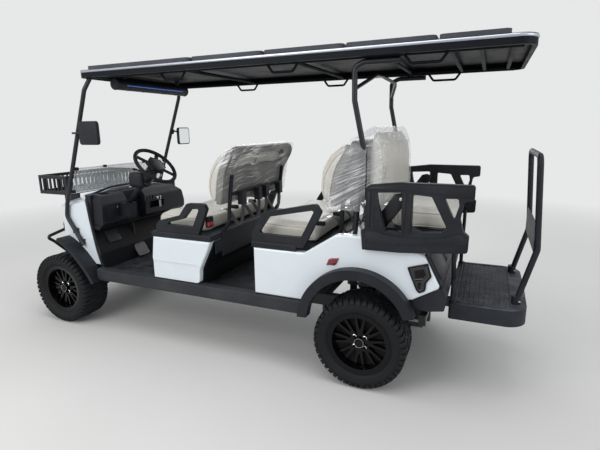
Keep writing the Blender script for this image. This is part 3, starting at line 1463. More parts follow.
@dataclass
class SeatFilm:
    """Clear packing film that still covers the backrests."""

    cell: float = 14.0
    puff: float = 6.0
    tent_foot: float = 0.12
    tent_bulge: float = 2.4
    weld: float = 0.004
    forms: tuple = (
        FilmForm("front_back_film", ((1490, 1066), (1492, 1180), (1516, 1300), (1560, 1400),
                                     (1612, 1478)),
                 ((1552, 1064), (1566, 1160), (1590, 1300), (1626, 1380), (1662, 1470)),
                 ((1612, 1480), (1640, 1480), (1664, 1470), (1654, 1430), (1620, 1370),
                  (1586, 1300), (1568, 1230), (1558, 1150), (1549, 1066), (1500, 1062)),
                 500.0, 84.0, 4.0),
        FilmForm("middle_back_film", ((2328, 1106), (2330, 1220), (2354, 1340), (2398, 1440),
                                      (2450, 1518)),
                 ((2560, 1100), (2562, 1220), (2563, 1360), (2564, 1480), (2566, 1585)),
                 ((2450, 1520), (2476, 1526), (2510, 1540), (2545, 1566), (2566, 1588)),
                 500.0, 84.0, -30.0),
        FilmForm("rear_back_film", ((2566, 1100), (2565, 1220), (2565, 1360), (2564, 1480),
                                    (2568, 1588)),
                 ((2648, 1100), (2660, 1220), (2658, 1360), (2642, 1490), (2612, 1592)),
                 ((2568, 1590), (2590, 1596), (2614, 1590), (2634, 1530), (2650, 1450),
                  (2660, 1380), (2663, 1280), (2662, 1200), (2656, 1110)),
                 484.0, 120.0, 3.0),
    )

    def wall(self, form: FilmForm, side: int) -> list[list[Vector]]:
        """Rows of points of one side wall, from the bottom up.

        Args:
            form: The sheet's form.
            side: Which wall, 1 or -1.

        Returns:
            The rows, each from the front line to the rear line.
        """
        front = even_path(flat_line(form.front), self.cell, False, 1)
        rear_line = flat_line(form.rear)
        length = sum((b - a).length for a, b in zip(rear_line, rear_line[1:]))
        rear = even_path(rear_line, length / (len(front) - 1), False, 1)
        top = max(p.z for p in front)
        low = min(p.z for p in front)
        start, full = (self.tent_foot, self.tent_bulge) if form.hollow < 0 else (0.0, 1.0)
        rows = []
        for a, b in zip(front, rear):
            steps = max(3, round((b - a).length / self.cell))
            row = []
            for share in (k / steps for k in range(steps + 1)):
                point = a.lerp(b, share)
                lift = start + (1.0 - start) * min(1, (point.z - low) / (top - low))
                sag = form.hollow * min(1, full * math.sin(math.pi * share)) * min(
                    1, full * math.sin(math.pi * lift))
                y = self.half_at(form, top - point.z) - sag
                row.append(station(point.x, side * y, point.z))
            rows.append(row)
        return rows

    def half_at(self, form: FilmForm, below: float) -> float:
        """Half the sheet's width at a depth below its rounded top.

        Args:
            form: The sheet's form.
            below: Depth below its top, in millimetres.

        Returns:
            Half the width, in millimetres.
        """
        over = max(0.0, 1.0 - below / form.corner)
        return form.half_width + self.puff - form.corner * (
            1 - math.sqrt(max(0.0, 1 - over ** 2)))

    def cover(self, form: FilmForm) -> list[list[Vector]]:
        """Rows of points over a sheet's top and down its back, each across the cart.

        Args:
            form: The sheet's form.

        Returns:
            The rows, from the front line's top onward.
        """
        line = even_path(flat_line(form.wrap), self.cell, False, 2)
        top = max(p.z for p in line)
        columns = round(2 * form.half_width / self.cell)
        rows = []
        for point in line:
            half = self.half_at(form, top - point.z)
            rows.append([station(point.x, -half + 2 * half * k / columns, point.z)
                         for k in range(columns + 1)])
        return rows

    def grid(self, sketch: Sketch, rows: Sequence[Sequence[Vector]]) -> None:
        """Adds rows of points as a sheet, matching rows of unlike length by share.

        Args:
            sketch: The sheet's sketch.
            rows: The rows of points.
        """
        wide = max(len(row) for row in rows)
        made = []
        for row in rows:
            line = []
            for k in range(wide):
                at = (len(row) - 1) * k / (wide - 1)
                low = min(int(at), len(row) - 2)
                line.append(sketch.bm.verts.new(row[low].lerp(row[low + 1], at - low)))
            made.append(line)
        for one, two in zip(made, made[1:]):
            for k in range(wide - 1):
                sketch.bm.faces.new((one[k], one[k + 1], two[k + 1], two[k]))

    def crease(self, mesh: bpy.types.Mesh, seed: float) -> None:
        """Pulls long slanted creases into a sheet.

        Args:
            mesh: The sheet's mesh.
            seed: Shift of the noise, which makes each sheet different.
        """
        normals = [v.normal.copy() for v in mesh.vertices]
        for vertex, normal in zip(mesh.vertices, normals):
            p = vertex.co
            slant = Vector((p.x * 10 + p.z * 16, p.y * 4.5 + p.z * 9, p.z * 5 - p.y * 3.5 + seed))
            ridge = 1.0 - abs(noise.noise(slant * 1.3)) * 2.2
            fine = noise.noise(slant * 3.1)
            vertex.co += normal * (0.0014 * ridge + 0.0004 * fine)

    def build(self) -> None:
        """Makes and declares each sheet."""
        for number, form in enumerate(self.forms):
            sketch = Sketch()
            for side in (-1, 1):
                self.grid(sketch, self.wall(form, side))
            self.grid(sketch, self.cover(form))
            bmesh.ops.remove_doubles(sketch.bm, verts=sketch.bm.verts, dist=self.weld)
            mesh = sketch.mesh()
            self.crease(mesh, number * 3.7)
            area = sum(face.area for face in mesh.polygons)
            finish = FILM if number == 0 else TENT_FILM
            piece = settle(form.name, mesh, finish, angle=180.0)
            wide = 2.0 * form.half_width * MM
            area / wide
            "seat_backs" if number < 2 else "rear_seat_back"


@dataclass
class SideTrim:
    """Reflectors, lamp faces, arch studs and step lines on the sides, and the edge trims."""

    reflector: Outline = ((2348, 764), (2364, 806), (2430, 818), (2412, 776))
    lamp: Outline = (
        (2838, 808), (2949, 842), (2972, 769), (2944, 730), (2941, 681), (2909, 662), (2892, 680))
    light_bar: Outline = (
        (2862, 806), (2940, 828), (2958, 772), (2930, 734), (2928, 690), (2908, 678))
    short_bar: Outline = ((2880, 742), (2926, 752))
    lamp_panels: tuple = (
        ((2876, 792), (2928, 806), (2940, 774), (2914, 738), (2888, 734)),
        ((2898, 722), (2916, 726), (2914, 690), (2902, 688)))
    head_lamp_ends: Outline = ((-178.6, 383.5), (-274.6, 278.7))
    head_lamp_height: float = 761.0
    eye: Outline = (
        (-1.0, 27), (2.2, 27), (3.0, 25.5), (1.2, 23.5), (1.0, 14), (2.4, 13), (4.0, 0.5))
    arch: Point = (2545.0, 352.0, 400.0)
    stud_angles: tuple = (-62, -38, -12, 14, 40, 64)
    stud: Outline = ((-6, 6.0), (1.6, 6.0), (3.4, 3.6))
    step: Point = (984.0, 1372.0, 652.0)
    tail_panel: Outline = (
        (2928.5, 884), (3018, 708), (3022, 692), (3033, 696), (3030, 713), (2939, 890))
    tail_rib: Outline = ((2946, 866), (3012, 738), (3021, 742), (2954, 871))
    pod_panel: Outline = ((1385, 487), (1394, 612), (1470, 762), (1495.5, 822), (1504, 820),
                          (1479, 759), (1403, 610), (1394, 487))
    pod_apron: Outline = ((1497, 730), (1503, 730), (1503, 822), (1497, 822))
    rim: tuple = (
        (396, 516, 470), (352, 520, 640), (312, 522, 880), (293, 520, 1030), (268, 505, 1058),
        (254, 464, 1072), (251, 383, 1085), (251, 231, 1114), (251, 0, 1117))

    def build(self) -> None:
        """Makes the trims on both sides, the black panels behind and the cowl's edge trim."""
        for side, tag in SIDES:
            self.reflectors(side, tag)
            self.tail_lamp(side, tag)
            self.side_lines(side, tag)
            self.head_lamp(side, tag)
        tail = Sketch().slab(self.tail_panel, -562, 562, 3.0)
        for y in (-380, 0, 380):
            tail.slab(self.tail_rib, y - 150, y + 150, 2.5)
        tail.piece("tail_black_panel", TRIM_BLACK)
        Sketch().slab(self.pod_panel, -538, 538).piece("pod_rear_panel", FLOOR_MAT)
        aprons = Sketch()
        for low in (-524, 442):
            aprons.slab(self.pod_apron, low, low + 82, 1.5)
        aprons.piece("pod_rear_aprons", TRIM_BLACK)
        line = [(x, -y, z) for x, y, z in self.rim] + list(reversed(self.rim[:-1]))
        trim = Sketch().tube(eased(line, 0.02), 0.0095, 10, 1.3)
        trim.piece("cowl_edge_trim", PANEL_TRIM, angle=ROUND)

    def reflectors(self, side: int, tag: str) -> None:
        """Makes one side's red reflector with its bezel.

        Args:
            side: Which side of the cart, -1 for its left and 1 for its right.
            tag: The side's name, for the names of its pieces.
        """
        lens = Sketch().slab(inset(self.reflector, 3.0), side * 578.5, side * 588.5, 2.4)
        lens.piece("reflector_lens_" + tag, RED_LENS)
        rim = Sketch().slab(self.reflector, side * 578.0, side * 585.5, 1.2)
        rim.piece("reflector_bezel_" + tag, BUCKLE_RED)

    def tail_lamp(self, side: int, tag: str) -> None:
        """Makes one tail lamp's bezel, its light bars and its gloss panels.

        Args:
            side: Which side of the cart, -1 for its left and 1 for its right.
            tag: The side's name, for the names of its pieces.
        """
        line = even_path(outline_at(inset(self.lamp, 2.0), side * 585.5), 0.006, True, 2)
        bezel = Sketch().hoop(line, 0.0042)
        bezel.piece("tail_lamp_bezel_" + tag, RIM_GLOSS, angle=ROUND)
        bars = Sketch()
        line = even_path(outline_at(self.light_bar, side * 586.6), 0.006, False, 2)
        bars.tube(line, 0.0045, 8, 0.6).tube(outline_at(self.short_bar, side * 586.6), 0.0032, 8)
        bars.piece("tail_lamp_bars_" + tag, LAMP_BAR, angle=ROUND)
        panels = Sketch()
        for outline in self.lamp_panels:
            panels.slab(outline, side * 583.0, side * 587.5, 1.6)
        panels.piece("tail_lamp_panels_" + tag, RIM_GLOSS)

    def head_lamp(self, side: int, tag: str) -> None:
        """Makes one head lamp's bezel and its two round projectors.

        Args:
            side: Which side of the cart, -1 for its left and 1 for its right.
            tag: The side's name, for the names of its pieces.
        """
        near, far = (Vector(end) for end in self.head_lamp_ends)
        along = (far - near).normalized()
        length = (far - near).length
        out = Vector((-0.737, side * 0.676, 0.0))

        def spot(run: float, z: float, lift: float) -> Vector:
            """Point of the lens face, a run along it, at a height and lifted off it."""
            flat = near + along * run
            return station(flat.x, side * flat.y, z) + out * (lift * MM)

        loop = [spot(length / 2 + x, self.head_lamp_height + z, 1.0)
                for x, z in rounded_loop(length / 2 - 2, 37, 12)]
        bezel = Sketch().hoop(loop, 0.0045)
        bezel.piece("head_lamp_bezel_" + tag, RIM_GLOSS, angle=ROUND)
        eyes = Sketch()
        for share in (0.28, 0.72):
            eyes.turned(spot(length * share, self.head_lamp_height, 0.0), out, self.eye, 32)
        eyes.piece("head_lamp_eyes_" + tag, CHROME)

    def side_lines(self, side: int, tag: str) -> None:
        """Makes one side's studs round the rear arch and the seat pod's lower step line.

        Args:
            side: Which side of the cart, -1 for its left and 1 for its right.
            tag: The side's name, for the names of its pieces.
        """
        x, radius, z = self.arch
        studs = Sketch()
        for angle in self.stud_angles:
            t = math.radians(angle)
            seat = station(x + radius * math.sin(t), side * 598.0, z + radius * math.cos(t))
            studs.turned(seat, outward(side), self.stud, 12)
        studs.piece("arch_studs_" + tag, FRAME_COAT)
        front, rear, z = self.step
        line = outline_at(((front, z), (rear, z)), side * 580.4)
        step = Sketch().tube(line, 0.0022, 6, 1.4)
        step.piece("panel_step_line_" + tag, BODY_WHITE, angle=ROUND)


@dataclass
class Dashboard:
    """Glove door, switches, key with its tag, and the apron under the dashboard."""

    face: float = 470.0
    door: tuple = (-360.0, 927.0, 100.0, 62.0)
    lock: Outline = ((-3, 9), (4.5, 9), (5.4, 7.6), (5.4, 6.0), (3.6, 5.4), (3.6, 0.5))
    switches: Outline = ((-74.0, 1000.0), (-40.0, 1001.0), (-6.0, 1003.0), (30.0, 1004.0))
    switch_plates: tuple = (("switch_bezels", FRAME_COAT, 4, (13, 19, 4), 1.2, 1),
                            ("switch_rockers", STRUT_COAT, 8, (9.5, 15, 3), 1.6, 2))
    key: Outline = ((-2, 15), (8, 15), (10, 13), (10, 9), (14, 8), (14, 0.5))
    apron: Outline = ((270, 794), (386, 800), (396, 812), (392, 822), (270, 822))

    def build(self) -> None:
        """Makes the glove door and the dashboard's fittings."""
        y0, z0, half_w, half_h = self.door
        loop = [station(431.0 + z * 0.05, y0 + y, z0 + z)
                for y, z in rounded_loop(half_w, half_h, 18.0)]
        door = Sketch().prism(loop, Vector((7.5 * MM, 0.0, 0.0)), 2.5)
        door.piece("glove_door", DASH_BLACK)
        lock = Sketch().turned(station(437, y0 + 10, z0 + 46), REARWARD, self.lock, 20)
        lock.piece("glove_door_lock", CHROME)
        for name, finish, lift, size, soft, steps in self.switch_plates:
            row = Sketch()
            for y, z in self.switches:
                x = self.face - (z - 1000) * 0.4 + lift
                row.plate((x, y, z), 0, size, 6, soft, steps)
            row.piece(name, finish)
        self.key_set()
        Sketch().slab(self.apron, -506, 506, 3.0).piece("dash_under_apron", FLOOR_MAT)

    def key_set(self) -> None:
        """Makes the key in its barrel, its tag and their ring."""
        key = Sketch().turned(station(self.face + 2, 88, 985), REARWARD, self.key)
        key.block((484, 84, 973), (510, 92, 1003), 2.0).piece("key_barrel", CHROME)
        Sketch().block((497, 76, 905), (500, 102, 962), 1.2).piece("key_tag", PALE_TAG)
        turns = [math.tau * k / 16 for k in range(17)]
        ring = Sketch().tube([station(499, 89 + 7 * math.cos(t), 968 + 8 * math.sin(t))
                              for t in turns], 0.0011, 6)
        ring.piece("key_ring", CHROME, angle=ROUND)


@dataclass
class DriverControls:
    """Steering wheel's grip and cover, the column with its gauge pod, and the pedals."""

    hub: Point = (810.0, -280.0, 1310.0)
    tilt: float = 45.0
    grip: float = 168.8
    ribs: int = 72
    rib: Outline = ((-1.2, 14.2), (0.0, 15.0), (1.2, 14.2))
    cover: Outline = (
        (-58, -34), (-40, -62), (40, -62), (58, -34), (52, 30), (34, 50), (-34, 50), (-52, 30))
    tube: Outline = ((0, 20), (3, 22), (528, 22), (531, 20))
    shroud: Outline = ((0, 38), (5, 45), (60, 46), (110, 42), (132, 36), (136, 30))
    gauge: Point = (709.0, -280.0, 1198.0)
    bezel: Outline = ((-4, 50), (3.5, 50), (5, 47.5), (5, 45), (2.5, 44), (2.5, 0.5))
    glass: Outline = ((2.0, 43.5), (3.6, 43.0), (4.0, 0.5))
    lever: tuple = ((-30, 0, -64), (-96, 8, -60), (-150, 26, -52), (-190, 40, -47))
    knob: Outline = ((-6, 7), (0, 9), (26, 9), (30, 6))
    pedal_up: Point = (-0.55, 0.0, 0.83)
    pedal_out: Point = (0.83, 0.0, 0.55)
    accelerator: Point = (404.0, -104.0, 556.0)
    brake: Point = (324.0, -338.0, 716.0)
    brake_thick: float = 18.0
    stud: Outline = ((12, 9), (16.5, 8.4), (17.5, 6.5))
    throttle_arm: tuple = ((400, -104, 540), (370, -104, 600), (340, -104, 720), (345, -104, 850))
    brake_arm: tuple = ((326, -330, 730), (300, -330, 640), (296, -330, 560), (330, -330, 486))

    def local(self, across: float, up: float, out: float) -> Vector:
        """Point on the tilted steering wheel, in metres.

        Args:
            across: Distance right of the hub, in millimetres.
            up: Distance up the wheel's face.
            out: Distance out of the face, towards the driver.

        Returns:
            The point.
        """
        t = math.radians(self.tilt)
        x, y, z = self.hub
        return station(x + out * math.cos(t) - up * math.sin(t), y + across,
                       z + out * math.sin(t) + up * math.cos(t))

    def build(self) -> None:
        """Makes the wheel's details, the column and the pedals."""
        rim = Sketch()
        for k in range(self.ribs):
            if k % 18 in (0, 1, 17):
                continue
            spot, ahead = (self.local(self.grip * math.sin(t), self.grip * math.cos(t), 0.0)
                           for t in (math.tau * k / self.ribs, math.tau * k / self.ribs + 0.1))
            rim.turned(spot, ahead - spot, self.rib, 14)
        rim.piece("steering_grip_ribs", GRIP, Body.WHEEL, ROUND)
        out = self.local(0, 0, 1) - self.local(0, 0, 0)
        cover = Sketch().prism([self.local(a, b, 15.5) for a, b in self.cover], out * 7.0, 2.6, 3)
        cover.piece("steering_wheel_cover", TRIM_BLACK, Body.WHEEL)
        self.column()
        self.pedals()

    def column(self) -> None:
        """Makes the column's tube, its shroud, the rounded gauge pod and the lever."""
        down = (self.local(0, 0, -1) - self.local(0, 0, 0)).normalized()
        tube = Sketch().turned(self.local(0, 0, -28.3), down, self.tube)
        tube.turned(self.local(0, 0, -34), down, self.shroud, 32)
        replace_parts(tube.piece("column_tube_shroud", DASH_BLACK), "steering_column")
        pod = Sketch().block((567, -347, 1135), (711, -213, 1261), 34.0, 6)
        pod.piece("gauge_pod", TRIM_BLACK, angle=ROUND)
        face = station(*self.gauge)
        Sketch().turned(face, REARWARD, self.bezel, 40).piece("gauge_bezel", RIM_GLOSS)
        Sketch().turned(face, REARWARD, self.glass, 32).piece("gauge_glass", SMOKED)
        line = [self.local(*p) for p in self.lever]
        lever = Sketch().tube(even_path(line[:3], 0.01), 0.0055, 10)
        lever.turned(line[2], line[3] - line[2], self.knob, 14).piece("column_lever", GRIP)

    def on_pad(self, centre: Point, across: float, up: float, out: float = 0.0) -> Vector:
        """Point on a sloping pedal pad, in metres, from its centre in station millimetres."""
        spot = Vector(centre) + Vector((0, across, 0)) + Vector(self.pedal_up) * up
        return station(*(spot + Vector(self.pedal_out) * out))

    def pad(self, centre: Point, half: tuple, thick: float, soft: float) -> Sketch:
        """Draws one pedal's pad from its centre, half sizes, thickness and edge radius."""
        loop = [self.on_pad(centre, y, z) for y, z in rounded_loop(*half, 14)]
        return Sketch().prism(loop, Vector(self.pedal_out) * (thick * MM), soft)

    def pedals(self) -> None:
        """Makes the pale accelerator pad, the brake pad and their arms."""
        pad = self.pad(self.accelerator, (60, 72), 14, 3)
        for up in (-42, -14, 14, 42):
            for across in (-32, 0, 32):
                spot = self.on_pad(self.accelerator, across, up)
                pad.turned(spot, Vector(self.pedal_out), self.stud, 10)
        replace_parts(pad.piece("accelerator_pad", PEDAL_GREY), "pedals")
        arm = Sketch().tube(eased(self.throttle_arm, 0.02), 0.009, 8)
        arm.piece("accelerator_arm", FRAME_COAT, angle=ROUND)
        brake = self.pad(self.brake, (66, 60), self.brake_thick, 4)
        for up in (-26, 0, 26):
            brake.tube([self.on_pad(self.brake, across, up, self.brake_thick)
                        for across in (-50, 50)], 0.003, 6)
        brake.tube(eased(self.brake_arm, 0.02), 0.010, 8).piece("brake_pedal", SKIRT_GREY)


@dataclass
class Glazing:
    """Windshield edges and clips, and the two mirrors."""

    half: float = 521.0
    rails: tuple = ((215, 1293, 3.6), (120, 1091, 2.6), (146, 1093, 3.0))
    near_arm: tuple = ((318, -552, 1570), (318, -596, 1570), (350, -612, 1570), (452, -618, 1570))
    far_arm: tuple = ((318, 552, 1570), (318, 600, 1570), (326, 640, 1560), (332, 672, 1550))
    clamp: Outline = ((-2, 19.5), (0, 21), (36, 21), (38, 19.5))

    def build(self) -> None:
        """Makes the bright sheet edges, the clips and the mirrors."""
        edge = Sketch()
        for x, z, radius in self.rails:
            edge.tube([station(x, -self.half, z), station(x, self.half, z)], radius * MM, 8)
        for side in (-1, 1):
            edge.tube(outline_at(((146, 1093), (216, 1290)), side * self.half), 0.0026, 8)
        edge.piece("windshield_edges", WINDOW_EDGE, angle=ROUND)
        clips = Sketch()
        for side in (-1, 1):
            y0, y1 = sorted((side * 498, side * 528))
            for x, z in ((214, 1292), (150, 1108)):
                clips.block((x - 12, y0, z - 14), (x + 14, y1, z + 12), 4.0)
            for y in (-230, 230):
                clips.block((204, y - 16, 1282), (226, y + 16, 1302), 4.0)
        clips.piece("windshield_clips", GRIP)
        self.mirrors()

    def mirrors(self) -> None:
        """Makes rounded mirror housings with their glass and their clamps."""
        near = Sketch().plate((520, -632, 1569.5), 1, (90, 85, 20), 27, 9, 4)
        near.tube(eased(self.near_arm, 0.01), 0.0075, 10)
        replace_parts(near.piece("mirror_near_housing", TRIM_BLACK), "mirrors")
        face = Sketch().plate((520, -605.5, 1569.5), 1, (80, 75, 14), 2.2, 0.8, 1)
        face.piece("mirror_near_glass", MIRROR_FACE)
        far = Sketch().plate((319, 696, 1523), 0, (84, 83, 20), 25, 9, 4)
        far.tube(eased(self.far_arm, 0.01), 0.0075, 10).piece("mirror_far_housing", TRIM_BLACK)
        face = Sketch().plate((342.4, 696, 1523), 0, (75, 74, 14), 2.2, 0.8, 1)
        face.piece("mirror_far_glass", MIRROR_FACE)
        clamps = Sketch()
        for side in (-1, 1):
            clamps.turned(station(316, side * 540, 1552), Vector((0.37, 0, 0.93)), self.clamp, 20)
        clamps.piece("mirror_clamps", GRIP)


@dataclass
class BeltGear:
    """Lap belts with their tongues and buckles, and the rear bench's belt brackets."""

    width: float = 0.046
    thick: float = 0.0022
    places: tuple = (-300.0, -60.0, 60.0, 300.0)
    route: Outline = ((1602, 1070), (1606, 1010), (1590, 930), (1566, 892), (1530, 930),
                      (1478, 1010), (1446, 1012))
    buckle_places: Outline = ((1436, -140), (1436, 140), (1436, 474), (2274, -474), (2274, -140),
                              (2274, 140), (2274, 474))
    bracket: Outline = ((2640, 1024), (2700, 1022), (2756, 1096), (2812, 1176), (2812, 1214),
                        (2780, 1226), (2742, 1216), (2690, 1140), (2646, 1082))
    reel: Outline = ((0, 26), (3, 31), (22, 31), (26, 27))
    rear_route: tuple = ((2756, 522, 1180), (2716, 520, 1122), (2690, 518, 1080), (2668, 516, 1046))

    def build(self) -> None:
        """Makes the belts of the two forward benches, all buckles and the rear brackets."""
        for tag, dx in (("front", 0.0), ("middle", 838.0)):
            web, tongues = Sketch(), Sketch()
            for y in self.places:
                line = eased([(x + dx, y, z) for x, z in self.route], 0.012, 4)
                web.ribbon(line, outward(1), self.width, self.thick)
                tongues.block((1418 + dx, y - 20, 1004), (1450 + dx, y + 20, 1011), 2.5)
            web.piece(tag + "_belt_webbing", WEBBING, angle=ROUND)
            tongues.piece(tag + "_belt_tongues", CHROME)
        self.buckles()
        self.rear_brackets()

    def buckles(self) -> None:
        """Makes the buckles with their red buttons, one of them on the front cushion's end."""
        cases = Sketch().block((1410, -506, 906), (1442, -440, 984), 9.0, 3)
        buttons = Sketch().block((1420, -510, 914), (1446, -452, 950), 9.0, 3)
        for x, y in self.buckle_places:
            cases.block((x - 34, y - 17, 984), (x + 26, y + 17, 1012), 7.0, 3)
            buttons.block((x - 36, y - 12, 990), (x - 20, y + 12, 1014), 4.0, 3)
        cases.piece("belt_buckles", GRIP)
        buttons.piece("belt_buckle_buttons", BUCKLE_RED)

    def rear_brackets(self) -> None:
        """Makes the rear bench's slanted belt brackets with their reels and webbing."""
        plates, reels, bolts = Sketch(), Sketch(), Sketch()
        for side in (-1, 1):
            out = outward(side)
            plates.slab(self.bracket, side * 536.0, side * 542.0)
            reels.turned(station(2778, side * 510, 1190), out, self.reel, 28)
            y0, y1 = sorted((side * 508, side * 528))
            reels.block((2700, y0, 1092), (2742, y1, 1150), 8.0, 3)
            for x, z in ((2778, 1190), (2668, 1050)):
                bolts.bolt(station(x, side * 542, z), out, 8.0)
            line = eased([(x, side * y, z) for x, y, z in self.rear_route], 0.012, 2)
            plates.ribbon(line, out, 0.030, 0.003)
        plates.piece("rear_belt_brackets", FRAME_COAT)
        reels.piece("rear_belt_reels", GRIP)
        bolts.piece("rear_belt_bolts", ZINC)


@dataclass
class TailStep:
    """Square tread and border of the footplate, and the grab hoop's foot bolts."""

    front: float = 3104.0
    rear: float = 3394.0
    half: float = 398.0
    pitch: float = 29.0
    top: float = 567.2

    def build(self) -> None:
        """Makes the tread studs, the border bead and the hoop's foot bolts."""
        studs = Sketch()
        rows = int((self.rear - self.front) / self.pitch)
        columns = int(2 * self.half / self.pitch)
        base, up = self.pitch * 0.40, self.pitch * 0.33
        levels = ((base, self.top - 1.0), (base, self.top + 0.8), (up, self.top + 3.0))
        corners = ((-1, -1), (1, -1), (1, 1), (-1, 1))
        for i in range(rows):
            for j in range(columns):
                x = self.front + (i + 0.5) * (self.rear - self.front) / rows
                y = -self.half + (j + 0.5) * 2 * self.half / columns
                studs.loft([[station(x + sx * s, y + sy * s, z) for sx, sy in corners]
                            for s, z in levels])
        studs.piece("footplate_tread", STEP_PLATE, angle=20.0)
        loop = rounded_loop((self.rear - self.front) / 2 + 10, self.half + 10, 30)
        middle = (self.rear + self.front) / 2
        bead = Sketch().hoop([station(middle + x, y, 570.4) for x, y in loop], 0.0035)
        bead.piece("footplate_border", STEP_PLATE, angle=ROUND)
        feet = Sketch()
        for y in (-324, -280, 280, 324):
            feet.bolt(station(3440, y, 590), Vector((0, 0, 1)), 7.0)
        feet.piece("hoop_foot_bolts", ZINC)


@dataclass
class ArmRelief:
    """Raised borders, grooves and ridge of the moulded rear arm frames."""

    face: float = 622.3
    borders: tuple = (
        ((2588, 906), (2792, 908), (2966, 922), (3143, 939), (3145, 1008), (3112, 1034),
         (3040, 1012), (2960, 996), (2850, 990), (2740, 994), (2660, 1012), (2600, 1008)),
        ((2612, 1247), (2800, 1256), (3020, 1240), (3100, 1232), (3158, 1226), (3158, 1284),
         (2790, 1286), (2616, 1266)))
    ribs: tuple = (((2802, 1008), (2812, 1240), (2822, 1240), (2814, 1008)),
                   ((2836, 1008), (2840, 1240), (2850, 1240), (2848, 1008)),
                   ((2606, 1030), (2610, 1236), (2626, 1234), (2622, 1030)))
    gussets: tuple = (
        ((2636, 1010), (2718, 1010), (2700, 1040), (2664, 1170), (2658, 1236), (2636, 1240)),
        ((2856, 1010), (2940, 1012), (2856, 1046)))
    ridge: Outline = ((2600, 948), (2700, 946), (2850, 952), (3000, 966), (3128, 984))

    def build(self) -> None:
        """Makes the raised forms on both outer faces."""
        inner, outer = self.face - 1.0, self.face + 5.0
        layers = ((self.borders, inner, outer, 2.4), (self.ribs, inner, outer, 1.6),
                  (self.gussets, self.face - 40.0, self.face - 1.5, 3.0))
        for side, tag in SIDES:
            relief = Sketch()
            for outlines, near, far, soft in layers:
                for outline in outlines:
                    relief.slab(outline, side * near, side * far, soft)
            relief.piece("arm_frame_relief_" + tag, TRIM_BLACK)
            line = even_path(outline_at(self.ridge, side * outer), 0.02)
            ridge = Sketch().tube(line, 0.005, 8, 0.5)
            ridge.piece("arm_frame_ridge_" + tag, TRIM_BLACK, angle=ROUND)


@dataclass
class RoofGear:
    """Sound bar's light bands and end caps, roof pad bolts and the roof's pale lip."""

    bolt_places: tuple = (480, 1300, 2100, 2640, 2990, 3140, 3290)
    bands: Outline = ((566.5, 1908), (646.0, 1918))
    end_cap: Outline = ((0, 43.5), (4, 44.5), (8, 43.5), (12, 38))
    collar: Outline = ((0, 42.4), (1, 43.6), (5, 43.6), (6, 42.4))
    lip: tuple = (1897.0, 1490.0, 555.0, 2006.0)
    lip_corners: tuple = (55.0, 85.0)

    def build(self) -> None:
        """Makes the fittings under the roof and the lip strip round its rim."""
        bands = Sketch()
        for x, z in self.bands:
            bands.tube([station(x, -330, z), station(x, 330, z)], 0.004, 8)
        bands.piece("sound_bar_band", BAR_GLOW, angle=ROUND)
        caps = Sketch()
        for side in (-1, 1):
            caps.turned(station(604, side * 404, 1926), outward(side), self.end_cap, 32)
            for y in (120, 280):
                caps.turned(station(604, side * y - 3, 1926), outward(1), self.collar, 32)
        caps.piece("sound_bar_caps", TRIM_BLACK)
        bolts = Sketch()
        for x in self.bolt_places:
            for side in (-1, 1):
                bolts.bolt(station(x, side * 515.5, 1975), outward(side), 6.5)
        bolts.piece("roof_pad_bolts", ZINC)
        middle, half_length, half_width, height = self.lip
        front, rear = (rounded_loop(half_length, half_width, r) for r in self.lip_corners)
        loop = [a if a[0] < 0 else b for a, b in zip(front, rear)]
        lip = Sketch().hoop([station(middle + x, y, height) for x, y in loop], 0.0095, 12)
        lip.piece("roof_lip_strip", ROOF_LIP, angle=ROUND)


@dataclass
class Fasteners:
    """Bolt heads on the front struts' feet and along the rear arm frames."""

    strut_feet: Outline = ((138, 788), (162, 788), (194, 700), (218, 700))
    arm_frames: Outline = ((2604, 960), (2790, 960), (2960, 970), (3110, 985))

    def build(self) -> None:
        """Makes the bolt heads."""
        bolts = Sketch()
        for side in (-1, 1):
            for places, y, size in ((self.strut_feet, 546, 6.0), (self.arm_frames, 627.6, 5.5)):
                for x, z in places:
                    bolts.bolt(station(x, side * y, z), outward(side), size)
        bolts.piece("body_bolts", FRAME_COAT)


